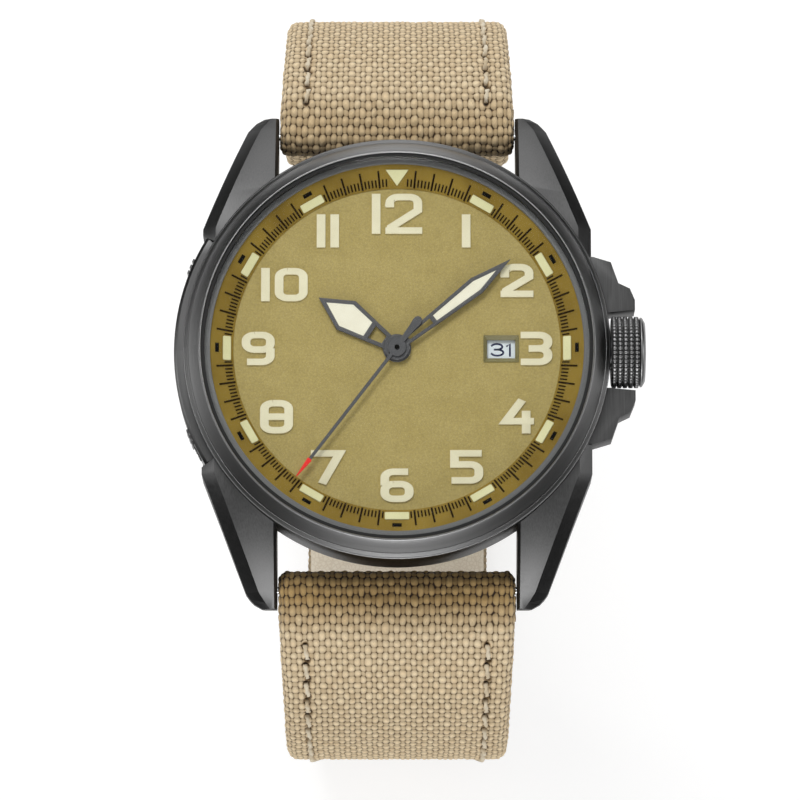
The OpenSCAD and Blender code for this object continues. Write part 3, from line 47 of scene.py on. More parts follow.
rng = np.random.default_rng(12)

# Levels and radii of the watch head, as in the part's source
STRAP_THICK, STRAP_THIN = 4.0, 2.8
STRAP_WIDE, STRAP_END_WIDE = 23.5, 20.0
BAR_Y, BAR_Z = 23.4, 1.2
SLOPE = math.radians(6.5)
LEAD_L, BEND_R, LEG_L, FOOT_R = 1.0, 14.5, 33.7, 12.6
LEAN = math.radians(7.5)
LIFT = (STRAP_THIN / 2 + FOOT_R * (1 - math.sin(LEAN)) + LEG_L * math.cos(LEAN)
        + BEND_R * (math.cos(SLOPE) + math.sin(LEAN)) + LEAD_L * math.sin(SLOPE) - BAR_Z)
CASE_R, LIP_R, DIAL_R = 21.3, 18.7, 16.4
DIAL_TOP = 8.4
RING_LOW = DIAL_TOP + 0.1
LIP_Z, LIP_TOP, CRYSTAL_TOP = 9.45, 9.75, 11.05
DATE_X = 10.43
CASE_TOP = 8.5
CROWN_Z, CROWN_R = 6.4, 3.6
HOUR_ANGLE, MINUTE_ANGLE, SECONDS_ANGLE = 303.3, 51.6, 217.4

# Yarn crimp, roundness in millimetres and half width in yarns: lengthwise and crosswise
WARP = (0.09, 0.17, 0.59)
WEFT = (0.065, 0.13, 0.51)
WEAVE_TOP = WARP[0] + WARP[1]

# A brush whose lines run along y: noise cells to a metre in x, y and z
BRUSH_ALONG_Y = (9000.0, 250.0, 9000.0)


# Making meshes


def in_scene(name, data):
    """An object in the scene for a mesh, a curve, a lamp or a camera."""
    obj = bpy.data.objects.new(name, data)
    bpy.context.scene.collection.objects.link(obj)
    return obj


def add_mesh(name, verts, faces, finish, body, smooth=True, lifted=True):
    """One mesh object from millimetre points, riding on a body."""
    verts = np.asarray(verts, float) + (np.array([0, 0, LIFT]) if lifted else 0)
    mesh = bpy.data.meshes.new(name)
    mesh.from_pydata((verts * MM).tolist(), [], [list(f) for f in faces])
    mesh.validate()
    mesh.update()
    mesh.polygons.foreach_set("use_smooth", [smooth] * len(mesh.polygons))
    mesh.materials.append(finish)
    obj = in_scene(name, mesh)
    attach(obj, body)
    return obj


def sharp_where(obj, degrees):
    """Keeps edges sharper than an angle crisp on a smooth mesh."""
    obj.data.set_sharp_from_angle(angle=math.radians(degrees))
    return obj


def grid_faces(rows, cols, wrap_cols=False, wrap_rows=False, first=0):
    """Quads between the points of a grid, numbered row by row."""
    r = np.arange(rows if wrap_rows else rows - 1)
    c = np.arange(cols if wrap_cols else cols - 1)
    rr, cc = np.meshgrid(r, c, indexing="ij")
    r2, c2 = (rr + 1) % rows, (cc + 1) % cols
    quads = np.stack([rr * cols + cc, rr * cols + c2, r2 * cols + c2, r2 * cols + cc], -1)
    return (quads.reshape(-1, 4) + first).tolist()


def lathe(profile, turns=256):
    """Points and faces of a closed (radius, height) profile turned about the dial axis."""
    a = np.linspace(0, 2 * math.pi, turns, endpoint=False)
    p = np.asarray(profile, float)
    x = p[None, :, 0] * np.cos(a)[:, None]
    y = p[None, :, 0] * np.sin(a)[:, None]
    z = np.broadcast_to(p[None, :, 1], x.shape)
    return np.stack([x, y, z], -1).reshape(-1, 3), grid_faces(turns, len(p), True, True)


def baked(obj, name, finish):
    """The mesh that a curve or a bevelled object shows, smooth and with one finish."""
    bpy.context.view_layer.update()
    mesh = bpy.data.meshes.new_from_object(obj.evaluated_get(bpy.context.evaluated_depsgraph_get()))
    mesh.name = name
    mesh.materials.clear()
    mesh.materials.append(finish)
    mesh.polygons.foreach_set("use_smooth", [True] * len(mesh.polygons))
    return mesh


def curve_plate(name, loops, low, high, edge, finish, body, place=None):
    """A flat piece cut from outlines, the later loops being holes, with its edges rounded over."""
    curve = bpy.data.curves.new(name, "CURVE")
    curve.dimensions = "2D"
    curve.fill_mode = "BOTH"
    curve.bevel_depth = edge * MM
    curve.bevel_resolution = 2
    curve.offset = -edge * MM
    curve.extrude = max((high - low) / 2 - edge, 0.0001) * MM
    for loop in loops:
        spline = curve.splines.new("POLY")
        spline.points.add(len(loop) - 1)
        spline.points.foreach_set("co", [c for x, y in loop for c in (x * MM, y * MM, 0, 1)])
        spline.use_cyclic_u = True
    outline = in_scene(name + "_outline", curve)
    mesh = baked(outline, name, finish)
    bpy.data.objects.remove(outline)
    mesh.transform(Matrix.Translation((0, 0, (low + high) / 2 * MM)))
    if place is not None:
        mesh.transform(place)
    mesh.transform(Matrix.Translation((0, 0, LIFT * MM)))
    obj = in_scene(name, mesh)
    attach(obj, body)
    return sharp_where(obj, 40)


def join(name, objs, body):
    """Several meshes of one finish as one piece."""
    built = bmesh.new()
    for o in objs:
        built.from_mesh(o.data)
    mesh = bpy.data.meshes.new(name)
    built.to_mesh(mesh)
    built.free()
    mesh.materials.append(objs[0].data.materials[0])
    for o in objs:
        bpy.data.objects.remove(o)
    obj = in_scene(name, mesh)
    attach(obj, body)
    return obj


def softened(node, finish, width, body, segments=2, crisp=24):
    """The CAD piece with its edges rounded, as a machined or cast piece has."""
    name = node + "_finished"
    mesh = frame["nodes"][node].data.copy()
    work = bmesh.new()
    work.from_mesh(mesh)
    bmesh.ops.remove_doubles(work, verts=work.verts, dist=2e-7)
    bmesh.ops.dissolve_limit(work, angle_limit=math.radians(1.5), verts=work.verts, edges=work.edges)
    work.to_mesh(mesh)
    work.free()
    obj = in_scene(name, mesh)
    bevel = obj.modifiers.new("edges", "BEVEL")
    bevel.width = width * MM
    bevel.segments = segments
    bevel.limit_method = "ANGLE"
    bevel.angle_limit = math.radians(28)
    bevel.harden_normals = False
    done = baked(obj, name, finish)
    obj.modifiers.clear()
    obj.data = done
    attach(obj, body)
    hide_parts(node)
    return sharp_where(obj, crisp)


# Shader nodes


def srgb(value):
    """A colour of 0-255 as a screen shows it, turned to the linear one that Blender takes."""
    c = np.asarray(value, float) / 255
    return tuple(np.where(c <= 0.04045, c / 12.92, ((c + 0.055) / 1.055) ** 2.4)) + (1.0,)


def feed(tree, socket, value):
    """Gives an input another node's output, or a plain value."""
    if hasattr(value, "links"):
        tree.links.new(value, socket)
    else:
        socket.default_value = value


def put(tree, kind, **values):
    """A node with its settings and inputs, which are named with underscores for spaces."""
    n = tree.nodes.new(kind)
    for key, value in values.items():
        if hasattr(n, key):
            setattr(n, key, value)
        else:
            feed(tree, n.inputs[key.replace("_", " ")], value)
    return n


def wire(tree, start, end):
    tree.links.new(start, end)


def maths(tree, operation, *values, clamp=False):
    """A math node; its inputs are sockets or plain numbers."""
    n = put(tree, "ShaderNodeMath", operation=operation, use_clamp=clamp)
    for socket, value in zip(n.inputs, values):
        feed(tree, socket, value)
    return n.outputs[0]


def mixed(tree, factor, a, b, blend="MIX"):
    """A colour mix; a and b are sockets or colours."""
    n = put(tree, "ShaderNodeMix", data_type="RGBA", blend_type=blend)
    for place, value in ((0, factor), (6, a), (7, b)):
        feed(tree, n.inputs[place], value)
    return n.outputs[2]


def dimmed(tree, colour, share):
    """A colour times a plain factor, which may pass 1."""
    n = put(tree, "ShaderNodeVectorMath", operation="SCALE", Scale=share)
    feed(tree, n.inputs[0], colour)
    return n.outputs[0]


def stretched(tree, vector, by):
    """A vector with each part multiplied on its own."""
    n = put(tree, "ShaderNodeVectorMath", operation="MULTIPLY")
    feed(tree, n.inputs[0], vector)
    feed(tree, n.inputs[1], by)
    return n.outputs[0]


def noise(tree, vector, **values):
    """The plain value of a noise texture over a vector."""
    return put(tree, "ShaderNodeTexNoise", Vector=vector, **values).outputs["Fac"]


def object_place(tree):
    """Where a point lies in the frame of its object."""
    return put(tree, "ShaderNodeTexCoord").outputs["Object"]


def map_range(tree, value, start, end, low=0.0, high=1.0, kind="LINEAR"):
    """Moves a value from one range to another, held at both ends."""
    n = put(tree, "ShaderNodeMapRange", clamp=True, interpolation_type=kind)
    for socket, given in zip(n.inputs, (value, start, end, low, high)):
        feed(tree, socket, given)
    return n.outputs[0]


def ramp(tree, factor, *stops):
    """A colour ramp through (place, colour) stops."""
    n = tree.nodes.new("ShaderNodeValToRGB")
    while len(n.color_ramp.elements) < len(stops):
        n.color_ramp.elements.new(0.5)
    for element, (place, colour) in zip(n.color_ramp.elements, stops):
        element.position = place
        element.color = (*colour, 1)
    wire(tree, factor, n.inputs[0])
    return n.outputs[0]


def effect(name, inputs, outputs):
    """An empty node group; its inputs are numbers or vectors with a first value, its outputs are numbers."""
    group = bpy.data.node_groups.new(name, "ShaderNodeTree")
    for label, value in inputs.items():
        kind = "NodeSocketVector" if isinstance(value, tuple) else "NodeSocketFloat"
        socket = group.interface.new_socket(name=label, in_out="INPUT", socket_type=kind)
        socket.default_value = value
    for label in outputs:
        group.interface.new_socket(name=label, in_out="OUTPUT", socket_type="NodeSocketFloat")
    return group, group.nodes.new("NodeGroupInput"), group.nodes.new("NodeGroupOutput")


def use(tree, group, **values):
    """Places an effect in a material, its inputs set by name."""
    n = tree.nodes.new("ShaderNodeGroup")
    n.node_tree = group
    for key, value in values.items():
        feed(tree, n.inputs[key.replace("_", " ")], value)
    return n


def fine_grain():
    """Sandy speckle and slow clouds over a surface."""
    g, into, out = effect("fine_grain", {"Grain Scale": 9000.0, "Cloud Scale": 120.0}, ["Grain", "Clouds"])
    where = object_place(g)
    for place, detail, rough in ((0, 3.0, 0.7), (1, 4.0, 0.55)):
        field = noise(g, where, Scale=into.outputs[place], Detail=detail, Roughness=rough)
        wire(g, field, out.inputs[place])
    return g


def turned_brush():
    """Fine lines that run round the dial axis, or round the crown's axis."""
    g, into, out = effect("turned_brush", {"About Crown": 0.0, "Lines": 9000.0}, ["Streaks", "Broad"])
    about_crown, lines = into.outputs[:2]
    x, y, z = put(g, "ShaderNodeSeparateXYZ", Vector=object_place(g)).outputs
    low_z = maths(g, "SUBTRACT", z, (LIFT + CROWN_Z) * MM)
    across = maths(g, "MULTIPLY_ADD", maths(g, "SUBTRACT", low_z, x), about_crown, x)
    along = maths(g, "MULTIPLY_ADD", maths(g, "SUBTRACT", x, z), about_crown, z)
    squares = maths(g, "ADD", maths(g, "MULTIPLY", across, across), maths(g, "MULTIPLY", y, y))
    point = put(g, "ShaderNodeCombineXYZ")
    wire(g, maths(g, "MULTIPLY", maths(g, "SQRT", squares), lines), point.inputs[0])
    wire(g, maths(g, "MULTIPLY", along, lines), point.inputs[1])
    wire(g, maths(g, "MULTIPLY", maths(g, "ARCTAN2", y, across), 1.6), point.inputs[2])
    for label, scale, rough in (("Streaks", 1.0, 0.6), ("Broad", 0.12, 0.5)):
        wire(g, noise(g, point.outputs[0], Scale=scale, Detail=2.0, Roughness=rough), out.inputs[label])
    return g


def straight_brush():
    """Fine straight lines, for flat brushed and plated pieces."""
    g, into, out = effect("straight_brush", {"Along": BRUSH_ALONG_Y}, ["Streaks"])
    lines = stretched(g, object_place(g), into.outputs["Along"])
    wire(g, noise(g, lines, Scale=1.0, Detail=2.0, Roughness=0.6), out.inputs["Streaks"])
    return g


GRAIN = fine_grain()
TURNED = turned_brush()
STRAIGHT = straight_brush()


def material(name, colour, rough, metal=0.0, **sockets):
    """A material with its Principled shader, and the plain values set on its sockets."""
    m = bpy.data.materials.new(name)
    m.use_nodes = True
    shader = m.node_tree.nodes["Principled BSDF"]
    for key, value in dict(Base_Color=colour, Roughness=rough, Metallic=metal, **sockets).items():
        shader.inputs[key.replace("_", " ")].default_value = value
    return m, m.node_tree, shader


def bump(tree, shader, height, depth, strength):
    """Lets a height, counted in depths of so many millimetres, tilt the surface."""
    n = put(tree, "ShaderNodeBump", Strength=strength, Distance=depth * MM, Height=height)
    wire(tree, n.outputs[0], shader.inputs["Normal"])


def spread(tree, value, low, high):
    """Moves a noise value from 0.3-0.7 to a range."""
    return map_range(tree, value, 0.3, 0.7, low, high)


def clouded(tree, tex, first, second):
    """Two shades of one colour that change slowly over the surface."""
    return mixed(tree, spread(tree, tex.outputs["Clouds"], 0, 1), first, second)


def level_share(tree, low, high):
    """How far a face looks up or down, from its normal: 0 on flanks, 1 on level faces."""
    facing = put(tree, "ShaderNodeNewGeometry").outputs["True Normal"]
    upright = put(tree, "ShaderNodeSeparateXYZ", Vector=facing).outputs[2]
    return map_range(tree, maths(tree, "ABSOLUTE", upright), low, high, kind="SMOOTHSTEP")


def coated_turned(name, colour, rough, twist, crown=0.0, flank_shade=None):
    """Dark coated metal with a circular brush, its flanks painted darker as shade where a colour is given."""
    m, t, s = material(name, srgb(colour), 0.3, 1.0, Anisotropic=twist)
    brush = use(t, TURNED, About_Crown=crown)
    streaks = brush.outputs["Streaks"]
    wire(t, spread(t, streaks, *rough), s.inputs["Roughness"])
    # Painted shade: upright faces take the darker colour given for flanks
    coat_and_flank_shade = mixed(t, level_share(t, 0.3, 0.6) if flank_shade else 1.0, srgb(flank_shade or colour), srgb(colour))
    wire(t, dimmed(t, coat_and_flank_shade, spread(t, brush.outputs["Broad"], 0.9, 1.1)), s.inputs["Base Color"])
    bump(t, s, streaks, 0.004, 0.5)
    around = put(t, "ShaderNodeTangent", direction_type="RADIAL", axis="X" if crown else "Z")
    wire(t, around.outputs[0], s.inputs["Tangent"])
    return m


def coated_straight(name, colour, flank_shade, rough):
    """Dark satin metal with a straight brush on its top faces, its flanks painted darker as shade."""
    m, t, s = material(name, srgb(colour), 0.35, 1.0)
    streaks = use(t, STRAIGHT).outputs[0]
    wire(t, spread(t, streaks, *rough), s.inputs["Roughness"])
    # Painted shade: upright faces take the darker colour given for flanks
    coat_and_flank_shade = mixed(t, level_share(t, 0.25, 0.85), srgb(flank_shade), srgb(colour))
    wire(t, dimmed(t, coat_and_flank_shade, spread(t, streaks, 0.86, 1.14)), s.inputs["Base Color"])
    bump(t, s, streaks, 0.004, 0.4)
    return m


def plated(name, colour, rough=(0.18, 0.32), along=BRUSH_ALONG_Y):
    """Bright plated or bare metal with a straight grain."""
    m, t, s = material(name, colour, 0.25, 1.0)
    streaks = use(t, STRAIGHT, Along=along).outputs[0]
    wire(t, spread(t, streaks, *rough), s.inputs["Roughness"])
    bump(t, s, streaks, 0.003, 0.4)
    return m


def painted(name, colour, second, rough, grain=9000.0, clouds=120.0, depth=0.006, specks=0.12, shine=0.5):
    """Paint or plastic with a fine grain and slow changes of shade."""
    m, t, s = material(name, srgb(colour), rough, Specular_IOR_Level=shine)
    tex = use(t, GRAIN, Grain_Scale=grain, Cloud_Scale=clouds)
    base = clouded(t, tex, srgb(colour), srgb(second))
    wire(t, mixed(t, specks, base, tex.outputs["Grain"], "OVERLAY"), s.inputs["Base Color"])
    bump(t, s, tex.outputs["Grain"], depth, 0.6)
    return m


def clear_glass(name, tint, coated):
    """Clear polished glass, coated against reflections, that lets the light through to the dial."""
    m, t, s = material(name, tint, 0.0, Transmission_Weight=1.0, IOR=1.5)
    path = put(t, "ShaderNodeLightPath")
    through = put(t, "ShaderNodeBsdfTransparent", Color=tint)
    blend = put(t, "ShaderNodeMixShader")
    skip = maths(t, "MAXIMUM", path.outputs["Is Shadow Ray"], path.outputs["Is Diffuse Ray"])
    wire(t, maths(t, "MAXIMUM", skip, coated), blend.inputs[0])
    wire(t, s.outputs[0], blend.inputs[1])
    wire(t, through.outputs[0], blend.inputs[2])
    wire(t, blend.outputs[0], t.nodes["Material Output"].inputs["Surface"])
    return m


def yarn_height(tree, across, along, crimp, round_h, half, first):
    """Height of the nearest yarn of one set; across counts its yarns, along the crossing ones."""
    best = None
    for k in (0, 1):
        index = maths(tree, "ADD", maths(tree, "FLOOR", across), k)
        off = maths(tree, "DIVIDE", maths(tree, "SUBTRACT", across, index), half)
        side = maths(tree, "MULTIPLY_ADD", maths(tree, "FLOORED_MODULO", index, 2), -2 * first, first)
        wave = maths(tree, "COSINE", maths(tree, "MULTIPLY", along, math.pi))
        lift = maths(tree, "MULTIPLY", maths(tree, "MULTIPLY", side, crimp), wave)
        room = maths(tree, "SUBTRACT", 1.0, maths(tree, "MULTIPLY", off, off))
        dome = maths(tree, "SQRT", maths(tree, "MAXIMUM", room, 0.0))
        height = maths(tree, "MULTIPLY_ADD", dome, round_h, lift)
        best = height if best is None else maths(tree, "MAXIMUM", best, height)
    return best


def plain_weave():
    """Plain weave from yarn coordinates: height in millimetres, the creases, and which set is on top."""
    g, into, out = effect("plain_weave", {"Yarns": (0, 0, 0)}, ["Height", "Crease", "Lengthwise"])
    u, v = put(g, "ShaderNodeSeparateXYZ", Vector=into.outputs[0]).outputs[:2]
    warp = yarn_height(g, u, v, *WARP, 1)
    weft = yarn_height(g, v, u, *WEFT, -1)
    high = maths(g, "MAXIMUM", warp, weft)
    apart = maths(g, "ABSOLUTE", maths(g, "SUBTRACT", warp, weft))
    # The creases, where the two sets meet and where the cloth lies low, mark where the canvas paints shade
    edge = maths(g, "SUBTRACT", 1.0, maths(g, "DIVIDE", apart, 0.04), clamp=True)
    deep = maths(g, "DIVIDE", maths(g, "SUBTRACT", 0.16, high), 0.07, clamp=True)
    wire(g, high, out.inputs["Height"])
    wire(g, maths(g, "MAXIMUM", maths(g, "MULTIPLY", edge, 0.34), deep), out.inputs["Crease"])
    wire(g, maths(g, "GREATER_THAN", warp, weft), out.inputs["Lengthwise"])
    return g


# The weave, and the painted shade tint of the cloth where it folds round the spring bars
WEAVE = plain_weave()
FOLD_SHADE_TONE = srgb((198, 182, 146))


def mark_value(tree, name):
    """A mark from 0 to 1 that the mesh carries at its points."""
    return put(tree, "ShaderNodeAttribute", attribute_name=name).outputs["Fac"]


def canvas_cloth():
    """Khaki yarns with fibres along each yarn, painted lighter on their crowns and darker in the creases as
    shade.
    """
    m, t, s = material("canvas_khaki", srgb((205, 175, 134)), 0.88, Sheen_Weight=0.1, Sheen_Roughness=0.5)
    uv = put(t, "ShaderNodeUVMap", uv_map="cloth").outputs[0]
    weave = use(t, WEAVE, Yarns=uv)
    height, lengthwise = weave.outputs["Height"], weave.outputs["Lengthwise"]
    strand = put(t, "ShaderNodeMix", data_type="FLOAT")
    wire(t, lengthwise, strand.inputs[0])
    for place, stretch in ((2, (4.0, 22.0, 1.0)), (3, (22.0, 4.0, 1.0))):
        fibres = noise(t, stretched(t, uv, stretch), Scale=1.0, Detail=3.0, Roughness=0.6)
        wire(t, fibres, strand.inputs[place])
    fibre = strand.outputs[0]
    yarns = spread(t, noise(t, uv, Scale=0.55, Detail=2.0), 0, 1)
    # The yarns lying on top are painted lighter than those under them, as a painted highlight
    light = mixed(t, yarns, srgb((255, 236, 200)), srgb((238, 214, 175)))
    dull = mixed(t, yarns, srgb((250, 228, 190)), srgb((226, 202, 163)))
    body = mixed(t, spread(t, fibre, 0, 0.62), mixed(t, lengthwise, dull, light), srgb((182, 156, 118)))
    # Painted light and shade by height: yarn crowns lightened past their colour, low places darkened
    body = dimmed(t, body, map_range(t, height, 0.06, WEAVE_TOP, 0.46, 1.12))
    # Painted shade: the cloth is darker near the spring bar, where it bends under, and its creases deeper
    # there
    fold_shade = mark_value(t, "fold_shade")
    body = mixed(t, fold_shade, body, mixed(t, 1.0, body, FOLD_SHADE_TONE, "MULTIPLY"))
    crease = maths(t, "MULTIPLY", weave.outputs["Crease"], maths(t, "MULTIPLY_ADD", fold_shade, 0.9, 1.0))
    # Painted shade in the creases between yarns and in the needle holes
    dark = maths(t, "MAXIMUM", crease, mark_value(t, "pierced"))
    shade = ramp(t, dark, (0.1, (1, 1, 1)), (0.55, (0.42, 0.35, 0.26)), (1.0, (0.08, 0.055, 0.03)))
    wire(t, mixed(t, 1.0, body, shade, "MULTIPLY"), s.inputs["Base Color"])
    bump(t, s, maths(t, "MULTIPLY_ADD", fibre, 0.05, height), 1.0, 0.9)
    return m


def thread_finish():
    """Cream stitching thread."""
    m, t, s = material("cream_thread", srgb((226, 212, 186)), 0.7, Sheen_Weight=0.2)
    tex = use(t, GRAIN, Grain_Scale=12000.0, Cloud_Scale=700.0)
    wire(t, clouded(t, tex, srgb((232, 222, 200)), srgb((196, 176, 142))), s.inputs["Base Color"])
    bump(t, s, tex.outputs["Grain"], 0.02, 0.4)
    return m


def leather_lining():
    """Smooth pale leather with small pores."""
    m, t, s = material("lining_leather", srgb((238, 228, 208)), 0.6)
    tex = use(t, GRAIN, Cloud_Scale=90.0)
    pores = put(t, "ShaderNodeTexVoronoi", feature="DISTANCE_TO_EDGE", Scale=2400.0, Vector=object_place(t))
    crease = maths(t, "MULTIPLY", pores.outputs["Distance"], 4.0, clamp=True)
    base = clouded(t, tex, srgb((240, 230, 211)), srgb((231, 219, 198)))
    shade = ramp(t, crease, (0, (0.66, 0.58, 0.48)), (0.6, (1, 1, 1)))
    wire(t, mixed(t, 0.35, base, shade, "MULTIPLY"), s.inputs["Base Color"])
    bump(t, s, crease, 0.05, 0.5)
    return m


# The bezel and the case are painted darker on their upright faces, as painted shade
BEZEL = coated_turned("bezel_brushed", (134, 134, 134), rough=(0.36, 0.45), twist=0.85, flank_shade=(40, 40, 40))
CASE = coated_straight("case_brushed", (91, 91, 91), flank_shade=(22, 22, 22), rough=(0.4, 0.52))
CASE_DARK = coated_turned("case_flank", (92, 92, 92), rough=(0.34, 0.46), twist=0.3)
POLISHED = coated_turned("polished_ring", (138, 138, 138), rough=(0.7, 0.8), twist=0.0)
CROWN = coated_turned("crown_brushed", (124, 124, 124), rough=(0.3, 0.45), twist=0.3, crown=1.0)
DIAL = painted("dial_khaki", (178, 159, 97), (170, 151, 88), rough=0.7, grain=5200.0, clouds=420.0,
               depth=0.01, specks=0.42)
CHAPTER = painted("chapter_gold", (148, 123, 52), (125, 101, 39), rough=0.7, clouds=260.0, shine=0.15)
LUME = painted("lume_cream", (230, 226, 178), (222, 218, 168), rough=0.75, clouds=600.0)
HAND_LUME = painted("hand_lume", (252, 247, 226), (243, 237, 214), rough=0.75, clouds=600.0)
NUMERAL = painted("numeral_cream", (238, 231, 198), (230, 222, 188), rough=0.5, clouds=500.0)
PRINT = painted("brown_print", (36, 24, 6), (28, 18, 4), rough=0.7, specks=0.05, shine=0.1)
PIP = painted("black_pip", (10, 9, 6), (7, 6, 5), rough=0.7, specks=0.05, shine=0.1)
HAND = painted("hand_grey", (76, 76, 79), (68, 68, 71), rough=0.38, specks=0.06, depth=0.002)
RED = painted("red_tip", (245, 22, 10), (225, 12, 6), rough=0.4, specks=0.05, depth=0.002)
DATE_WHITE = painted("date_white", (244, 251, 255), (238, 247, 255), rough=0.6, specks=0.05)
DATE_FRAME = painted("date_frame_gold", (128, 120, 74), (118, 109, 65), rough=0.45, specks=0.05)
NAVY = painted("navy_print", (20, 28, 78), (16, 22, 66), rough=0.7, specks=0.05, shine=0.1)
HOLDER = painted("holder_plastic", (206, 206, 200), (196, 196, 190), rough=0.5)
RUBBER = painted("black_rubber", (24, 24, 24), (18, 18, 18), rough=0.75)
RHODIUM = plated("rhodium_plate", (0.62, 0.61, 0.58, 1), along=(2200.0, 120.0, 2200.0))
BRASS = plated("gilt_brass", (0.74, 0.53, 0.22, 1))
STEEL = plated("bare_steel", (0.58, 0.59, 0.6, 1), rough=(0.12, 0.24))
BLUED = plated("blued_steel", (0.06, 0.11, 0.34, 1), rough=(0.1, 0.2))
RUBY = material("ruby", (0.55, 0.02, 0.1, 1), 0.08, Coat_Weight=0.6)[0]
GLASS = clear_glass("crystal_glass", (0.99, 0.995, 0.99, 1), 0.97)
CANVAS = canvas_cloth()
THREAD = thread_finish()
LEATHER = leather_lining()


# Camera, floor and light


def studio():
    """The photo's camera, a long lens above the dial that is tilted towards 6 o'clock."""
    tilt = math.radians(10.5)
    away, view_wide, sensor_wide = 550, 80, 36
    back = Vector((0, -math.sin(tilt), math.cos(tilt)))
    down = Vector((0, -math.cos(tilt), -math.sin(tilt)))
    aim = Vector((0.3, 0, LIFT + 9.3)) + down * 5.3
    camera = in_scene("camera", bpy.data.cameras.new("camera"))
    camera.location = (aim + back * away) * MM
    camera.rotation_mode = "QUATERNION"
    camera.rotation_quaternion = (-back).to_track_quat("-Z", "Y")
    camera.data.lens = sensor_wide * away / view_wide
    camera.data.clip_start = 0.01
    camera.data.clip_end = 20
    bpy.context.scene.camera = camera


def seen_rays(tree):
    """1 where the camera looks, straight or by way of metal or glass."""
    path = put(tree, "ShaderNodeLightPath")
    mirror = maths(tree, "MAXIMUM", path.outputs["Is Glossy Ray"], path.outputs["Is Transmission Ray"])
    return maths(tree, "MAXIMUM", path.outputs["Is Camera Ray"], mirror)


def stage_sheet(name, corners, finish):
    """A four-cornered sheet of the studio, which is no part of the watch."""
    mesh = bpy.data.meshes.new(name)
    mesh.from_pydata([[c * MM for c in p] for p in corners], [], [(0, 1, 2, 3)])
    mesh.materials.append(finish)
    obj = in_scene(name, mesh)
    return obj


def floor():
    """A pale table top that fades to white and keeps the watch's shadow."""
    m, t, s = material("pale_table", (0.45, 0.45, 0.45, 1), 0.9)
    tex = use(t, GRAIN, Cloud_Scale=4.0)
    wire(t, clouded(t, tex, (0.45, 0.45, 0.45, 1), (0.43, 0.43, 0.43, 1)), s.inputs["Base Color"])
    s.inputs["Emission Color"].default_value = (1, 1, 1, 1)
    far, glow = 3000, 0.66
    wire(t, maths(t, "MULTIPLY", seen_rays(t), glow), s.inputs["Emission Strength"])
    stage_sheet("table", [(-far, -far, 0), (far, -far, 0), (far, far, 0), (-far, far, 0)], m)


def sky():
    """Even pale light all round, white where the camera, metal or glass looks."""
    world = bpy.data.worlds.new("studio")
    bpy.context.scene.world = world
    world.use_nodes = True
    t = world.node_tree
    back = t.nodes["Background"]
    back.inputs["Color"].default_value = (1, 1, 1, 1)
    unseen, more_seen = 0.4, 0.6
    wire(t, maths(t, "MULTIPLY_ADD", seen_rays(t), more_seen, unseen), back.inputs["Strength"])


def lamp(name, azimuth, elevation, distance, wide, tall, power):
    """A soft box that faces the watch head: degrees, millimetres and watts."""
    a, e = math.radians(azimuth), math.radians(elevation)
    away = Vector((math.sin(a) * math.cos(e), -math.cos(a) * math.cos(e), math.sin(e)))
    light = bpy.data.lights.new(name, "AREA")
    light.shape = "RECTANGLE"
    light.size = wide * MM
    light.size_y = tall * MM
    light.energy = power
    obj = in_scene(name, light)
    obj.location = (Vector((0, 0, LIFT + 6)) + away * distance) * MM
    obj.rotation_mode = "QUATERNION"
    obj.rotation_quaternion = away.to_track_quat("Z", "Y")


def dark_card(name, azimuth):
    """A black card beside the watch, which only metal and glass show."""
    a = math.radians(azimuth)
    out = Vector((math.sin(a), -math.cos(a), 0))
    side = Vector((math.cos(a), math.sin(a), 0))
    near, half, low, high = 112, 70, 1, 330
    places = ((-half, low), (half, low), (half, high), (-half, high))
    obj = stage_sheet(name, [out * near + side * x + Vector((0, 0, z)) for x, z in places], BLACK_CARD)
    obj.visible_camera = False
    obj.visible_diffuse = False
    obj.visible_shadow = False
    obj.visible_transmission = False


def lights():
    """A large box above, a weaker one on each side, and the dark cards between them."""
    lamp("top_box", 198, 52, 420, 200, 150, 0.88)
    for i, (azimuth, power) in enumerate(((0, 0.46), (90, 0.16), (180, 0.1), (270, 0.16))):
        lamp("side_box_%d" % i, azimuth, 14, 330, 110, 150, power)
    for i, azimuth in enumerate((48, 132, 228, 312)):
        dark_card("dark_card_%d" % i, azimuth)


BLACK_CARD = material("black_card", (0.01, 0.01, 0.01, 1), 0.9)[0]
bpy.context.scene.view_settings.view_transform = "Standard"
studio()
floor()
sky()
lights()


# Case, bezel and crystal


def bezel():
    """The bezel with its polished inner edge, brushed slope with a fine groove, and outer edge painted dark
    as shade.
    """
    edge, seat, rim = CASE_R + 0.1, 20.35, 19.61
    low, high = np.array([edge - 0.16, CASE_TOP + 0.5]), np.array([19.78, CRYSTAL_TOP - 0.28])
    groove = [low + (high - low) * share for share in (0.2, 0.215, 0.245, 0.26)]
    for point in groove[1:3]:
        point[1] -= 0.03
    slope = [low, low + (high - low) * 0.05] + groove + [high - (high - low) * 0.05, high]
    profile = [(seat, CASE_TOP + 0.01), (edge - 0.06, CASE_TOP + 0.01), (edge, CASE_TOP + 0.07),
               (edge, CASE_TOP + 0.34), (edge - 0.03, CASE_TOP + 0.42), (edge - 0.09, CASE_TOP + 0.48)]
    profile += [tuple(p) for p in slope]
    profile += [(19.72, CRYSTAL_TOP - 0.25), (19.66, CRYSTAL_TOP - 0.25), (rim, CRYSTAL_TOP - 0.3),
                (rim, LIP_TOP + 0.02), (seat, LIP_TOP + 0.02)]
    obj = sharp_where(add_mesh("bezel_ring", *lathe(profile, 360), BEZEL, "head"), 30)
    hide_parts("bezel")


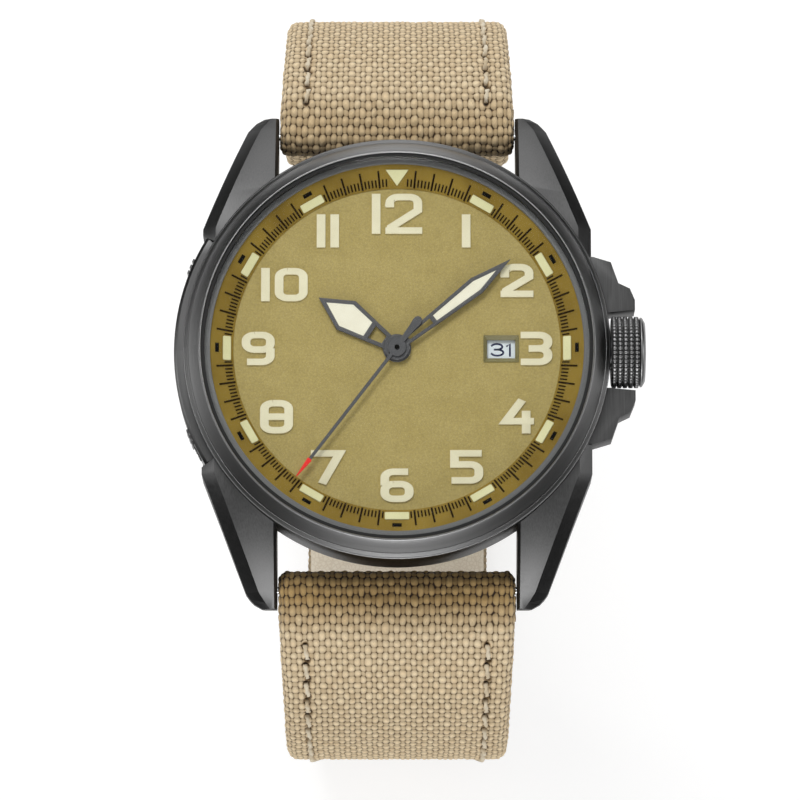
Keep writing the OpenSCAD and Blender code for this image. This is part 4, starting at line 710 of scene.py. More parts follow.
def crystal():
    """Flat crystal with a polished bevel, as one closed turned solid."""
    top, low, edge = CRYSTAL_TOP, LIP_TOP + 0.06, 19.25
    profile = [(0.0005, low), (edge - 0.05, low), (edge, low + 0.05), (edge, top - 0.3),
               (19.22, top - 0.25), (18.8, top - 0.02), (18.72, top), (12, top), (6, top), (0.0005, top)]
    obj = sharp_where(add_mesh("crystal_clear", *lathe(profile), GLASS, "head"), 12)
    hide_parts("crystal")


def seat_ring():
    """The polished edge that shows round the dial under the crystal."""
    inner, outer = 18.69, 19.24
    profile = [(inner, LIP_Z + 0.02), (inner, LIP_TOP - 0.01), (inner + 0.04, LIP_TOP + 0.03),
               (outer, LIP_TOP + 0.03), (outer, LIP_TOP + 0.01), (inner + 0.09, LIP_TOP - 0.04),
               (inner + 0.09, LIP_Z + 0.02)]
    obj = sharp_where(add_mesh("seat_ring_polished", *lathe(profile), POLISHED, "head"), 30)


def crown_beads():
    """The crown's rim with five rows of raised beads, and its bevelled cap."""
    rows, around, fine = 5, 50, 7
    start, length, deep = CASE_R + 0.2, 2.8, 0.26
    turns = around * fine
    a = np.arange(turns) / turns * 2 * math.pi
    u = np.linspace(0, 1, rows * fine + 1)
    bead = np.abs(np.sin(a * around / 2))[:, None] * np.abs(np.sin(u * rows * math.pi))[None, :]
    r = CROWN_R - deep + deep * np.clip(bead * 1.9, 0, 1) ** 0.7
    x = np.broadcast_to(start + u * length, r.shape)
    back = [(2.02, 1.6), (2.02, 0.04), (2.06, 0.0), (CROWN_R - 0.4, 0.0), (CROWN_R - 0.3, 0.03)]
    cap = [(CROWN_R - 0.32, 2.83), (CROWN_R - 0.12, 2.9), (CROWN_R - 0.08, 3.0), (CROWN_R - 0.12, 3.1),
           (CROWN_R - 0.62, 3.38), (CROWN_R - 0.75, 3.36), (CROWN_R - 0.8, 3.3), (CROWN_R - 1.0, 3.33),
           (2.0, 3.43), (1.0, 3.48), (0.001, 3.5)]
    plain = [[np.tile(column, (turns, 1)) for column in np.array(points).T] for points in (back, cap)]
    r = np.hstack([plain[0][0], r, plain[1][0]])
    x = np.hstack([start + plain[0][1], x, start + plain[1][1]])
    v = np.stack([x, r * np.sin(a)[:, None], CROWN_Z + r * np.cos(a)[:, None]], -1)
    obj = add_mesh("crown_knurled", v.reshape(-1, 3), grid_faces(*r.shape, False, True), CROWN, "crown")
    sharp_where(obj, 45)
    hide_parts("crown")


bezel()
crystal()
seat_ring()
crown_beads()
softened("case_middle", CASE, 0.18, "head", segments=3, crisp=38)
softened("side_plate", CASE_DARK, 0.08, "head")
softened("buckle_frame", CASE, 0.5, "buckle", segments=3)
softened("buckle_tongue", CASE, 0.25, "tongue", segments=3)
softened("case_back", CASE_DARK, 0.1, "head")


# Dial and hands


def chapter_z(r):
    """Height of the sloping chapter ring at a radius."""
    return RING_LOW + (r - DIAL_R) * (LIP_Z - RING_LOW) / (LIP_R - DIAL_R)


def on_slope(points, thick):
    """A closed thin plate over a four-cornered outline that lies on the chapter ring."""
    sunk = 0.01
    top = [(x, y, chapter_z(math.hypot(x, y)) + thick) for x, y in points]
    low = [(x, y, chapter_z(math.hypot(x, y)) - sunk) for x, y in points]
    n = len(points)
    sides = [(i, (i + 1) % n, n + (i + 1) % n, n + i) for i in range(n)]
    return top + low, [tuple(range(n - 1, -1, -1)), tuple(range(n, 2 * n))] + sides


def polar_box(angle, r0, r1, wide):
    """Corners of a small oblong along a radius, the angle in degrees clockwise from 12."""
    a = math.radians(angle)
    out = np.array([math.sin(a), math.cos(a)])
    side = np.array([math.cos(a), -math.sin(a)])
    return [out * r + side * wide / 2 * s for r, s in ((r0, -1), (r0, 1), (r1, 1), (r1, -1))]


def gathered(name, plates, finish, body):
    """Many small closed plates as one piece."""
    verts, faces = [], []
    for v, f in plates:
        faces += [[i + len(verts) for i in face] for face in f]
        verts += list(v)
    return add_mesh(name, verts, faces, finish, body, smooth=False)


def chapter_ring():
    """The sloping ring round the dial, with a thin bright edge at the dial."""
    wall = 19.3
    profile = [(DIAL_R, DIAL_TOP), (wall, DIAL_TOP), (wall, LIP_Z), (LIP_R - 0.02, LIP_Z),
               (DIAL_R + 0.03, RING_LOW + 0.01), (DIAL_R, RING_LOW - 0.01)]
    obj = sharp_where(add_mesh("chapter_ring_gold", *lathe(profile, 480), CHAPTER, "head"), 20)
    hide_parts("chapter_ring")


def minute_track():
    """Printed ticks at each fifth of a minute, clear of the lume, and a dark mark outside each block."""
    plates = []
    for i in range(300):
        angle = i * 1.2
        off_hour = min(angle % 30, 30 - angle % 30)
        off_twelve = min(angle, 360 - angle)
        if off_hour < (3.5 if off_twelve < 15 else 4.7):
            continue
        inner, outer, wide = (16.6, 17.32, 0.16) if i % 5 else (16.5, 18.15, 0.2)
        plates.append(on_slope(polar_box(angle, inner, outer, wide), 0.02))
    obj = gathered("minute_track", plates, PRINT, "head")
    pips = [on_slope(polar_box(hour * 30, 17.81, 18.19, 0.94), 0.02) for hour in range(1, 12)]
    obj = gathered("hour_pips", pips, PIP, "head")


def rounded_box(w, h, r, n=5):
    """Outline of a box with round corners, centred."""
    pts = []
    for right, up, start in ((1, 1, 0), (-1, 1, 90), (-1, -1, 180), (1, -1, 270)):
        for i in range(n):
            a = math.radians(start + 90 * i / (n - 1))
            pts.append((right * (w / 2 - r) + r * math.cos(a), up * (h / 2 - r) + r * math.sin(a)))
    return pts


def lume_on_ring():
    """Raised lume on the sloping ring: a triangle at 12 and a block at each other hour."""
    triangle, block = [(0.05, 0.0), (1.7, 1.15), (1.7, -1.15)], rounded_box(0.85, 2.44, 0.12)
    lean = Matrix.Rotation(-math.atan2(LIP_Z - RING_LOW, LIP_R - DIAL_R), 4, "Y")
    made = []
    for hour in range(12):
        r = 17.05 if hour else DIAL_R + 0.22
        spin = Matrix.Rotation(math.radians(90 - hour * 30), 4, "Z")
        move = Matrix.Translation((r * MM, 0, chapter_z(r) * MM))
        made.append(curve_plate("lume_%d" % hour, [block if hour else triangle], -0.02, 0.13, 0.05, LUME,
                                "head", spin @ move @ lean))
    obj = join("lume_blocks_raised", made, "head")
    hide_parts("lume_blocks")


def dial_plate():
    """The dial with its date window, its hole for the hands and a soft round edge under the ring."""
    window = [(DATE_X + x, y) for x, y in rounded_box(3.24, 2.42, 0.12)]
    low, edge_r, hole_r = 8.0, DIAL_R * 1.14, 1.15
    loops = [ring_points(edge_r, 239), ring_points(hole_r, 47), window]
    obj = curve_plate("dial_face", loops, low, DIAL_TOP, 0.04, DIAL, "head")
    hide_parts("dial")


def date_frame():
    """A bevelled frame sloping down into the date window: rings of width, height, level and corner."""
    rings = [(3.57, 2.75, 0.0, 0.1), (3.55, 2.73, 0.1, 0.09), (3.47, 2.65, 0.12, 0.08),
             (2.83, 1.87, -0.2, 0.05), (2.8, 1.84, -0.36, 0.05)]
    verts = []
    for w, h, z, r in rings:
        verts += [(DATE_X + x, y, DIAL_TOP + z) for x, y in rounded_box(w, h, r)]
    faces = grid_faces(len(rings), len(verts) // len(rings), True)
    obj = sharp_where(add_mesh("date_frame_bevelled", verts, faces, DATE_FRAME, "head"), 25)
    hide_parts("date_frame")


def hand_transform(angle):
    """Turns a hand that points to 12 clockwise to its place."""
    return Matrix.Rotation(-math.radians(angle), 4, "Z")


def ring_points(r, n=64):
    """Points round a circle."""
    return [(r * math.cos(a), r * math.sin(a)) for a in np.linspace(0, 2 * math.pi, n + 1)[:-1]]


def hub_outline(r, x0, y0, rest):
    """Outline of a hand: round its hub from one side to the other, then the rest of its points."""
    a0 = math.atan2(y0, x0)
    hub = [(r * math.cos(a), r * math.sin(a)) for a in np.linspace(math.pi - a0, 2 * math.pi + a0, 40)]
    return hub + rest


def skeleton_hand(kind, body, angle, z, hub, bore, root, widest, tip, rim, slot, fill, fill_wide):
    """A pointed hand with an open slot near its hub and a longer one that holds lume.

    root is half its width at the hub; widest is half its greatest width and how far out that is; rim is the
    metal beside the slots; fill is where the lume starts, and its distance from the tip and the corners.
    """
    half, far = widest
    y0 = math.sqrt(hub ** 2 - root ** 2)
    def inner(y):
        return root + (y - y0) * (half - root) / (far - y0) - rim
    def open_end(y):
        return [(-inner(y), y), (inner(y), y)]
    start, from_tip, from_corner = fill
    outline = hub_outline(hub, root, y0, [(half, far), (0.0, tip), (-half, far)])
    low_hole = open_end(slot[0]) + open_end(slot[1])[::-1]
    top_hole = open_end(start) + [(half - from_corner, far - 0.02), (0, tip - from_tip),
                                  (from_corner - half, far - 0.02)]
    place = hand_transform(angle)
    obj = curve_plate(kind + "_hand_bevelled", [outline, ring_points(bore), low_hole, top_hole], z, z + 0.17,
                      0.05, HAND, body, place)
    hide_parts(kind + "_hand")
    lume = [(x * fill_wide, y) for x, y in top_hole]
    obj = curve_plate(kind + "_lume_fill", [lume], z + 0.02, z + 0.15, 0.02, HAND_LUME, body, place)
    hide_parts(kind + "_hand_lume")


def hour_hand():
    """The broad hand."""
    skeleton_hand("hour", "hours", HOUR_ANGLE, z=8.64, hub=1.43, bore=1.06, root=0.8, widest=(1.74, 6.1),
                  tip=9.4, rim=0.43, slot=(1.55, 3.0), fill=(3.5, 0.93, 0.46), fill_wide=1.02)


def minute_hand():
    """The slim hand above it."""
    skeleton_hand("minute", "minutes", MINUTE_ANGLE, z=8.94, hub=1.3, bore=0.74, root=0.5,
                  widest=(0.96, 10.2), tip=14.6, rim=0.36, slot=(1.5, 4.4), fill=(4.85, 1.9, 0.4),
                  fill_wide=1.0)


def seconds_hand():
    """The thin shaft with its round hub and paddle, and its red end."""
    place = hand_transform(SECONDS_ANGLE)
    z, hub, bore, thick = 9.22, 0.92, 0.21, 0.14
    paddle = [(0.36, -2.6), (0.45, -3.2), (0.42, -3.55), (0.25, -3.8)]
    right = oval(0, 0, hub, hub, 79, -73, 24) + paddle
    outline = right + [(0, -3.87)] + [(-x, y) for x, y in reversed(right)] + [(-0.16, 14.3), (0.16, 14.3)]
    obj = curve_plate("seconds_hand_shaft", [outline, ring_points(bore, 24)], z, z + thick, 0.035, HAND,
                      "seconds", place)
    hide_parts("seconds_hand")
    tip = [(-0.16, 14.25), (-0.25, 14.35), (-0.06, 16.4)]
    tip += [(0, 16.55)] + [(-x, y) for x, y in reversed(tip)]
    obj = curve_plate("seconds_hand_tip", [tip], z, z + thick, 0.03, RED, "seconds", place)


def hub_pin():
    """The dark round end of the seconds pipe."""
    low, top, r = 9.24, 9.53, 0.24
    profile = [(0.0005, low), (r, low), (r, top - 0.04), (r - 0.04, top - 0.01), (0.0005, top)]
    obj = sharp_where(add_mesh("seconds_hub_pin", *lathe(profile, 48), PIP, "seconds"), 40)


def oval(cx, cy, rx, ry, start, end, steps=16):
    """Points on an oval from one angle to another, in degrees."""
    turn = np.radians(np.linspace(start, end, steps))
    return [(cx + rx * math.cos(a), cy + ry * math.sin(a)) for a in turn]


# The pen lines of each digit in a box one wide and one tall
DIGIT_LINES = {
    0: [oval(0.5, 0.5, 0.5, 0.5, 90, 450, 40)],
    1: [[(0.0, 0.82), (1.0, 1.0), (1.0, 0.5), (1.0, 0.0)]],
    2: [oval(0.5, 0.71, 0.5, 0.29, 160, -35), [(0.93, 0.55), (0.0, 0.0)], [(0.0, 0.0), (1.0, 0.0)]],
    3: [oval(0.47, 0.76, 0.45, 0.24, 155, -90), [(0.3, 0.52), (0.5, 0.52)],
        oval(0.5, 0.26, 0.5, 0.26, 90, -155)],
    4: [[(0.74, 0.0), (0.74, 1.0)], [(0.74, 1.0), (0.0, 0.3)], [(0.0, 0.3), (1.0, 0.3)]],
    5: [[(0.92, 1.0), (0.12, 1.0)], [(0.12, 1.0), (0.08, 0.5)], oval(0.5, 0.31, 0.5, 0.31, 142, -155)],
    6: [oval(0.5, 0.31, 0.5, 0.31, 90, 450, 36), oval(0.9, 0.31, 0.9, 0.7, 180, 92)],
    7: [[(0.0, 1.0), (1.0, 1.0)], [(1.0, 1.0), (0.35, 0.0)]],
    8: [oval(0.5, 0.76, 0.42, 0.24, 90, 450, 32), oval(0.5, 0.26, 0.5, 0.26, 90, 450, 32)]}
DIGIT_LINES[9] = [[(1 - x, 1 - y) for x, y in line] for line in DIGIT_LINES[6]]


def pen_stroke(points, wide, low, high):
    """A flat closed band along a line of points."""
    p = np.asarray(points, float)
    way = np.gradient(p, axis=0)
    way /= np.linalg.norm(way, axis=1)[:, None]
    side = np.stack([-way[:, 1], way[:, 0]], -1) * wide / 2
    p[0] -= way[0] * wide / 2
    p[-1] += way[-1] * wide / 2
    corners = [(p - side, high), (p + side, high), (p + side, low), (p - side, low)]
    rows = np.stack([np.column_stack([c, np.full(len(c), z)]) for c, z in corners], 1)
    n = len(p)
    return rows.reshape(-1, 3), grid_faces(n, 4, True) + [(3, 2, 1, 0), tuple(range(4 * n - 4, 4 * n))]


def date_numbers():
    """The days 1 to 31 round the date disc, with 31 in the window."""
    disc = frame["nodes"]["date_disc"].data.vertices
    top = max(v.co.z for v in disc) / MM - LIFT
    tall, pen, gap, room, one_wide, most = 1.19, 0.19, 0.38, 2.3, 0.28, 1.22
    plates = []
    for day in range(1, 32):
        digits = [int(c) for c in str(day)]
        ones = digits.count(1)
        gaps = gap * (len(digits) - 1)
        broad = min(most, (room - gaps - one_wide * ones) / max(len(digits) - ones, 1))
        widths = [one_wide if d == 1 else broad for d in digits]
        left = DATE_X - 0.05 - (sum(widths) + gaps) / 2
        turn = math.radians(day * 360 / 31)
        c, s = math.cos(turn), math.sin(turn)
        for digit, w in zip(digits, widths):
            for line in DIGIT_LINES[digit]:
                flat = [(left + x * w, (y - 0.5) * tall) for x, y in line]
                verts, faces = pen_stroke(flat, pen, top - 0.002, top + 0.006)
                plates.append(([(x * c - y * s, x * s + y * c, z) for x, y, z in verts], faces))
            left += w + gap
    gathered("date_numbers", plates, NAVY, "date")


chapter_ring()
minute_track()
lume_on_ring()
dial_plate()
date_frame()
hour_hand()
minute_hand()
seconds_hand()
hub_pin()
date_numbers()


# Strap: cloth, lining, stitches and keepers

# Crosswise yarns lie this far apart along the strap, and round the spring bar
PITCH_ALONG, FOLD_PITCH = 0.66, 1.0

# Lengths along the strap's middle line, and the centres of its bends
LEG_TURN = math.pi / 2 + LEAN
LEG_S = LEAD_L + BEND_R * (LEG_TURN - SLOPE)
FOOT_BEND_S = LEG_S + LEG_L
FOOT_S = FOOT_BEND_S + FOOT_R * (math.pi / 2 - LEAN)
SHORT_L, TAIL_L = FOOT_S + 2.4, FOOT_S + 23
BEND_Y = BAR_Y + LEAD_L * math.cos(SLOPE) - BEND_R * math.sin(SLOPE)
BEND_Z = LIFT + BAR_Z - LEAD_L * math.sin(SLOPE) - BEND_R * math.cos(SLOPE)
LEG_Y, LEG_Z = BEND_Y + BEND_R * math.cos(LEAN), BEND_Z - BEND_R * math.sin(LEAN)
FOOT_Y = LEG_Y - LEG_L * math.sin(LEAN) - FOOT_R * math.cos(LEAN)
FOOT_Z = LEG_Z - LEG_L * math.cos(LEAN) + FOOT_R * math.sin(LEAN)
HOLE_PITCH, HOLES, HOLE_END_L = 6, 7, 12
FIRST_HOLE = TAIL_L - HOLE_END_L - (HOLES - 1) * HOLE_PITCH
STITCH_PITCH, STITCH_L, STITCH_IN = 1.9, 1.4, 2.5
LINING_THICK, LINING_START = 1.0, 3.5
STRAIGHT_R = 1e9

# Yarns across the canvas, where its upper piece ends, and mesh points to a yarn in both pieces
YARNS_WIDE, SPLIT_S, TOP_SAMPLES, LEG_SAMPLES = 43, 27.0, 5, 4

# Crosswise yarns from the spring bar over which the painted shade where the cloth bends fades out
FOLD_END_V, FOLD_FADE_V = 4.875, 3.9


def strap_line(s):
    """The middle line at lengths s from the spring bar: y, z and the angle of its direction."""
    s = np.asarray(s, float)
    angle = np.where(s < LEAD_L, -SLOPE, -SLOPE - (s - LEAD_L) / BEND_R)
    angle = np.where(s >= LEG_S, -LEG_TURN, angle)
    angle = np.where(s >= FOOT_BEND_S, -LEG_TURN - (s - FOOT_BEND_S) / FOOT_R, angle)
    angle = np.where(s >= FOOT_S, -math.pi, angle)
    oy, oz = -np.sin(angle), np.cos(angle)
    y = BAR_Y + s * math.cos(SLOPE)
    z = LIFT + BAR_Z - s * math.sin(SLOPE)
    y, z = np.where(s >= LEAD_L, BEND_Y + BEND_R * oy, y), np.where(s >= LEAD_L, BEND_Z + BEND_R * oz, z)
    y = np.where(s >= LEG_S, LEG_Y - (s - LEG_S) * math.sin(LEAN), y)
    z = np.where(s >= LEG_S, LEG_Z - (s - LEG_S) * math.cos(LEAN), z)
    y = np.where(s >= FOOT_BEND_S, FOOT_Y + FOOT_R * oy, y)
    z = np.where(s >= FOOT_BEND_S, FOOT_Z + FOOT_R * oz, z)
    y = np.where(s >= FOOT_S, FOOT_Y - (s - FOOT_S), y)
    z = np.where(s >= FOOT_S, FOOT_Z - FOOT_R, z)
    return y, z, angle


def strap_thick(s):
    """Thickness of the strap at lengths s from the spring bar."""
    return np.interp(s, [0, 3, LEG_S], [STRAP_THICK, STRAP_THICK, STRAP_THIN])


def strap_wide(s):
    """Its width there."""
    return np.interp(s, [0, SHORT_L], [STRAP_WIDE, STRAP_END_WIDE])


def cloth_wide(s):
    """Width of the canvas, whose soft edges fill the gap between the lugs."""
    return strap_wide(s) + np.interp(s, [0, 4, 12], [0.46, 0.4, 0.0])


def tip_share(s, end, tip):
    """How much of its width a rounded tip keeps."""
    share = np.clip((np.asarray(s, float) - end + tip) / max(tip, 0.001), 0, 1)
    return 1 - 0.75 * share ** 2.5 if tip else np.ones_like(share)


def smooth_noise(x, y, seed):
    """Smooth random values from -1 to 1, one knot per unit."""
    count = 64
    knots = np.random.default_rng(seed).uniform(-1, 1, (count, count))
    xi, yi = np.floor(x).astype(int), np.floor(y).astype(int)
    fx, fy = x - xi, y - yi
    fx, fy = fx * fx * (3 - 2 * fx), fy * fy * (3 - 2 * fy)
    def at(i, j):
        return knots[i % count, j % count]
    low = at(xi, yi) * (1 - fx) + at(xi + 1, yi) * fx
    high = at(xi, yi + 1) * (1 - fx) + at(xi + 1, yi + 1) * fx
    return low * (1 - fy) + high * fy


def yarn_set(across, along, crimp, round_h, half, first):
    """Height of the nearest yarn of one set, the first one going up or down."""
    best = np.full(across.shape, -1.0)
    for k in (0, 1):
        index = np.floor(across) + k
        side = first * (1 - 2 * np.mod(index, 2))
        dome = np.sqrt(np.maximum(0, 1 - ((across - index) / half) ** 2))
        best = np.maximum(best, side * crimp * np.cos(math.pi * along) + round_h * dome)
    return best


def weave_height(u, v):
    """Height of the cloth at yarn coordinates, as in the plain_weave effect."""
    return np.maximum(yarn_set(u, v, *WARP, 1), yarn_set(v, u, *WEFT, -1))


# Share of a band's points that lie on each side, below its rounded edge
SIDE_SHARE = 0.03


def band_section(half, tall, edge, share):
    """Points and outward normals across a band with rounded edges; share runs from 0 to 1.

    The last result is the place across the face from -0.5 to 0.5, and past that on the sides.
    """
    edge = np.minimum(edge, tall * 0.85)
    side, bend, flat = tall - edge, edge * math.pi / 2, 2 * (half - edge)
    face = 2 * bend + flat
    total = 2 * side + face
    near = np.minimum(share, 1 - share)
    on_side = near < SIDE_SHARE
    b = np.where(on_side, near / SIDE_SHARE * side, side + (near - SIDE_SHARE) / (1 - 2 * SIDE_SHARE) * face)
    left = share < 0.5
    across = np.where(left, 1, -1) * ((b - side) / face - 0.5)
    a = np.where(left, b, total - b)
    b = np.where(left, a, total - a)
    turn = np.clip((b - side) / edge, 0, math.pi / 2)
    x = -half + edge - edge * np.cos(turn) + np.maximum(0, b - side - bend)
    up = np.minimum(b, side) + edge * np.sin(turn)
    nx, nup = -np.cos(turn), np.sin(turn)
    return np.where(left, x, -x), up, np.where(left, nx, -nx), nup, across


def woven_section(half, tall, edge, cols, yarns, v, inside, pierced=None, uneven=1.0):
    """Points over a band's outer face at the weave's height, then points over its flat inner side.

    The result is where they lie across and above, their yarn coordinates and their needle marks.
    """
    # How far yarns stray, in yarns, then how uneven the cloth and how deep a needle hole is, in millimetres
    stray_u, stray_w, rough, needle_deep = 0.16 * uneven, 0.2 * uneven, 0.05 * uneven, 0.45
    share = np.linspace(0, 1, cols)[None, :]
    x, up, nx, nup, across = band_section(half, tall, edge, share)
    straight = np.broadcast_to(v, x.shape)
    u = across * yarns
    u = u + stray_u * smooth_noise(u * 1.3, straight * 0.45, 3)
    w = straight + stray_w * smooth_noise(u * 0.6, straight * 1.3, 5)
    drop = weave_height(u, w) - WEAVE_TOP + rough * smooth_noise(u * 0.9, w * 0.9, 9)
    hole = np.zeros(x.shape) if pierced is None else pierced(x, straight)
    drop = drop - needle_deep * hole
    back = (np.linspace(1, 0, inside + 2)[1:-1][None, :] * 2 - 1) * half
    flat = np.zeros(back.shape)
    return (np.hstack([x + drop * nx, back]), np.hstack([up + drop * nup, flat]),
            np.hstack([u, flat]), np.hstack([w, v + flat]), np.hstack([hole, flat]))


def cloth_map(mesh, u, v, **marks):
    """Writes yarn coordinates, and the marks that the cloth's finish reads, to a mesh."""
    corner = np.empty(len(mesh.loops), int)
    mesh.loops.foreach_get("vertex_index", corner)
    uv = mesh.uv_layers.new(name="cloth")
    uv.data.foreach_set("uv", np.stack([u.reshape(-1)[corner], v.reshape(-1)[corner]], -1).reshape(-1))
    for name, values in marks.items():
        mark = mesh.attributes.new(name, "FLOAT", "POINT")
        mark.data.foreach_set("value", values.reshape(-1).astype(np.float32))


def band_faces(verts, rows, cols, flipped, ends, skip):
    """Faces round a closed band, without those that lie in holes, and flat ends where they are wanted."""
    faces = np.array(grid_faces(rows, cols, True))
    if skip is not None:
        faces = faces[~skip(verts[faces].mean(1))]
    if flipped:
        faces = faces[:, ::-1]
    faces = faces.tolist()
    for row, wanted in ((0, ends[0]), (rows - 1, ends[1])):
        if wanted:
            loop = list(range(row * cols, row * cols + cols))
            faces.append(loop if (row > 0) != flipped else loop[::-1])
    return faces


def woven(name, rows, yarns, samples, body, ends=(True, True), skip=None, pierced=None, fold_shade_share=0.0):
    """A canvas band along rows of origins, outward directions, half widths, heights, yarn counts, centres."""
    mirror = rows[-1]
    y0, z0, dy, dz, half, tall, v, centre = (column[:, None] for column in rows[:-1])
    round_edge, inside = 1.1, 6
    x, up, u, w, hole = woven_section(half, tall, round_edge, yarns * samples + 1, yarns, v, inside, pierced)
    verts = np.stack([x + centre, (y0 + dy * up) * mirror, z0 + dz * up], -1).reshape(-1, 3)
    faces = band_faces(verts, *x.shape, mirror < 0, ends, skip)
    obj = add_mesh(name, verts, faces, CANVAS, body, lifted=False)
    marks = {"pierced": hole}
    # Painted shade of the bend, strongest at the spring bar and fading out along the strap
    if fold_shade_share:
        marks["fold_shade"] = np.broadcast_to(fold_shade_share * np.clip((FOLD_END_V - v) / FOLD_FADE_V, 0, 1), x.shape)
    cloth_map(obj.data, u, w, **marks)
    return obj


def yarn_lengths(start, end, samples):
    """Lengths s at which rows lie, a whole number of them to each crosswise yarn on the outer face."""
    s = np.linspace(start, end, 4000)
    bend = np.where((s > FOOT_BEND_S) & (s < FOOT_S), FOOT_R, STRAIGHT_R)
    bend = np.where((s > LEAD_L) & (s < LEG_S), BEND_R, bend)
    pitch = np.interp(s[1:], [0, 2.2, 5.5], [FOLD_PITCH, FOLD_PITCH, PITCH_ALONG])
    v = np.concatenate([[0], np.cumsum(np.diff(s) * (1 + strap_thick(s[1:]) / 2 / bend[1:]) / pitch)])
    steps = np.arange(0, v[-1], 1 / samples)
    return np.interp(steps, v, s), steps, v[-1]


def cover_rows(start, end, samples, mirror, tip=0, v0=0.0):
    """Rows of the canvas between two lengths, with its inner side on the lining."""
    s, v, last = yarn_lengths(start, end, samples)
    s, v = np.append(s, end), np.append(v, last)
    y, z, angle = strap_line(s)
    low = -np.clip((s - 3) / 0.5, 0, 1) * (strap_thick(s) / 2 - LINING_THICK)
    oy, oz = -np.sin(angle), np.cos(angle)
    half = cloth_wide(s) / 2 * tip_share(s, end, tip)
    return [y + oy * low, z + oz * low, oy, oz, half, strap_thick(s) / 2 - low, v + v0, s * 0, mirror]


def nose_rows(samples, mirror):
    """Rows that come from under the spring bar, round it and on to the outer face."""
    under, bend = 3.2, STRAP_THICK / 2 * math.pi
    q = np.arange(-math.ceil((under + bend) / FOLD_PITCH * samples), 0) / samples * FOLD_PITCH
    q = q[q > -(under + bend)]
    y, z = strap_line(np.maximum(0, -(q + bend)))[:2]
    turn = -SLOPE + np.clip(-q / bend, 0, 1) * math.pi
    dy, dz = -np.sin(turn), np.cos(turn)
    full = np.full(q.shape, float(cloth_wide(0)) / 2)
    return [y, z, dy, dz, full, full * 0 + STRAP_THICK / 2, q / FOLD_PITCH, full * 0, mirror]


def stacked(a, b):
    """Two sets of rows, one after the other."""
    return [np.concatenate([p, r]) for p, r in zip(a[:-1], b[:-1])] + [a[-1]]


def stitch_places(end, tip, begin):
    """Lengths and sides of the stitches along both edges, and round the tip if there is one."""
    places = []
    for i in range(int((end - 2.6 - begin) / STITCH_PITCH)):
        start = begin + i * STITCH_PITCH
        for side in (-1, 1):
            ends = []
            for s, lean in ((start, -0.1), (start + STITCH_L, 0.1)):
                ends.append((s, side * (strap_wide(s) / 2 * tip_share(s, end, tip) - STITCH_IN) + lean))
            if abs(ends[0][1]) > 1.2:
                places.append(ends)
    return places


def stitches(name, places, mirror, body):
    """Twisted two-ply threads, each dipping into the cloth at both ends."""
    verts, faces = [], []
    steps, around, thread, proud, dip, lobe, twist = 13, 12, 0.2, 0.06, 0.5, 0.3, 6.5
    for (s0, x0), (s1, x1) in places:
        jitter = rng.uniform(-0.05, 0.05, 2)
        first = rng.uniform(0, math.pi)
        base = len(verts)
        for t in np.linspace(0, 1, steps):
            s = s0 + (s1 - s0) * t
            x = x0 + jitter[0] + (x1 - x0 + jitter[1] - jitter[0]) * t
            y, z, angle = strap_line(s)
            out = np.array([0, -math.sin(angle) * mirror, math.cos(angle)])
            rise = proud - dip * abs(2 * t - 1) ** 5
            middle = np.array([x, y * mirror, z]) + out * (strap_thick(s) / 2 + rise)
            for a in 2 * math.pi * np.arange(around) / around:
                r = thread * (1 + lobe * math.cos(2 * (a - first - twist * t)))
                verts.append(middle + np.array([r * math.cos(a), 0, 0]) + out * r * math.sin(a))
        last = base + (steps - 1) * around
        faces += grid_faces(steps, around, True, False, base)
        faces += [list(range(base + around - 1, base - 1, -1)), list(range(last, last + around))]
    if mirror < 0:
        faces = [f[::-1] for f in faces]
    obj = add_mesh(name, verts, faces, THREAD, body, lifted=False)


def lining(name, start, end, tip, mirror, body, skip):
    """Leather on the inner side, softly rounded at its edges."""
    play, row_pitch, points_wide, inset, edge = 0.01, 0.6, 65, 0.3, 0.45
    lengths = np.append(np.arange(start, end - play, row_pitch), end)
    half = (strap_wide(lengths) * tip_share(lengths, end, tip) / 2 - inset)[:, None]
    s = lengths[:, None]
    y, z, angle = strap_line(s)
    share = np.linspace(0, 1, points_wide)[None, :]
    x, up, nx, nup = band_section(half, np.full(half.shape, 0.97), edge, share)[:4]
    coarse, fine = smooth_noise(x * 1.6, s * 1.6, 21), smooth_noise(x * 4, s * 4, 22)
    grain = 0.03 * coarse + 0.015 * fine - 0.04
    x = x + grain * nx
    up = LINING_THICK - play - strap_thick(s) / 2 - np.maximum(up + grain * nup, 0)
    verts = np.stack([x, (y - np.sin(angle) * up) * mirror, z + np.cos(angle) * up], -1).reshape(-1, 3)
    faces = band_faces(verts, *x.shape, mirror > 0, (True, True), skip)
    obj = add_mesh(name, verts, faces, LEATHER, body, lifted=False)
    return sharp_where(obj, 50)


def hole_centres():
    """Lengths of the tail's holes."""
    return [FIRST_HOLE + i * HOLE_PITCH for i in range(HOLES)]


def in_holes(points):
    """Which face centres lie in the tail's holes."""
    hit = np.zeros(len(points), bool)
    cut_r, reach = 1.12, 4
    for s in hole_centres():
        y, z, angle = strap_line(s)
        out = np.array([0, math.sin(angle), math.cos(angle)])
        off = points - np.array([0, -y, z])
        flat = off - np.outer(off @ out, out)
        hit |= (np.linalg.norm(flat, axis=1) < cut_r) & (np.abs(off @ out) < reach)
    return hit


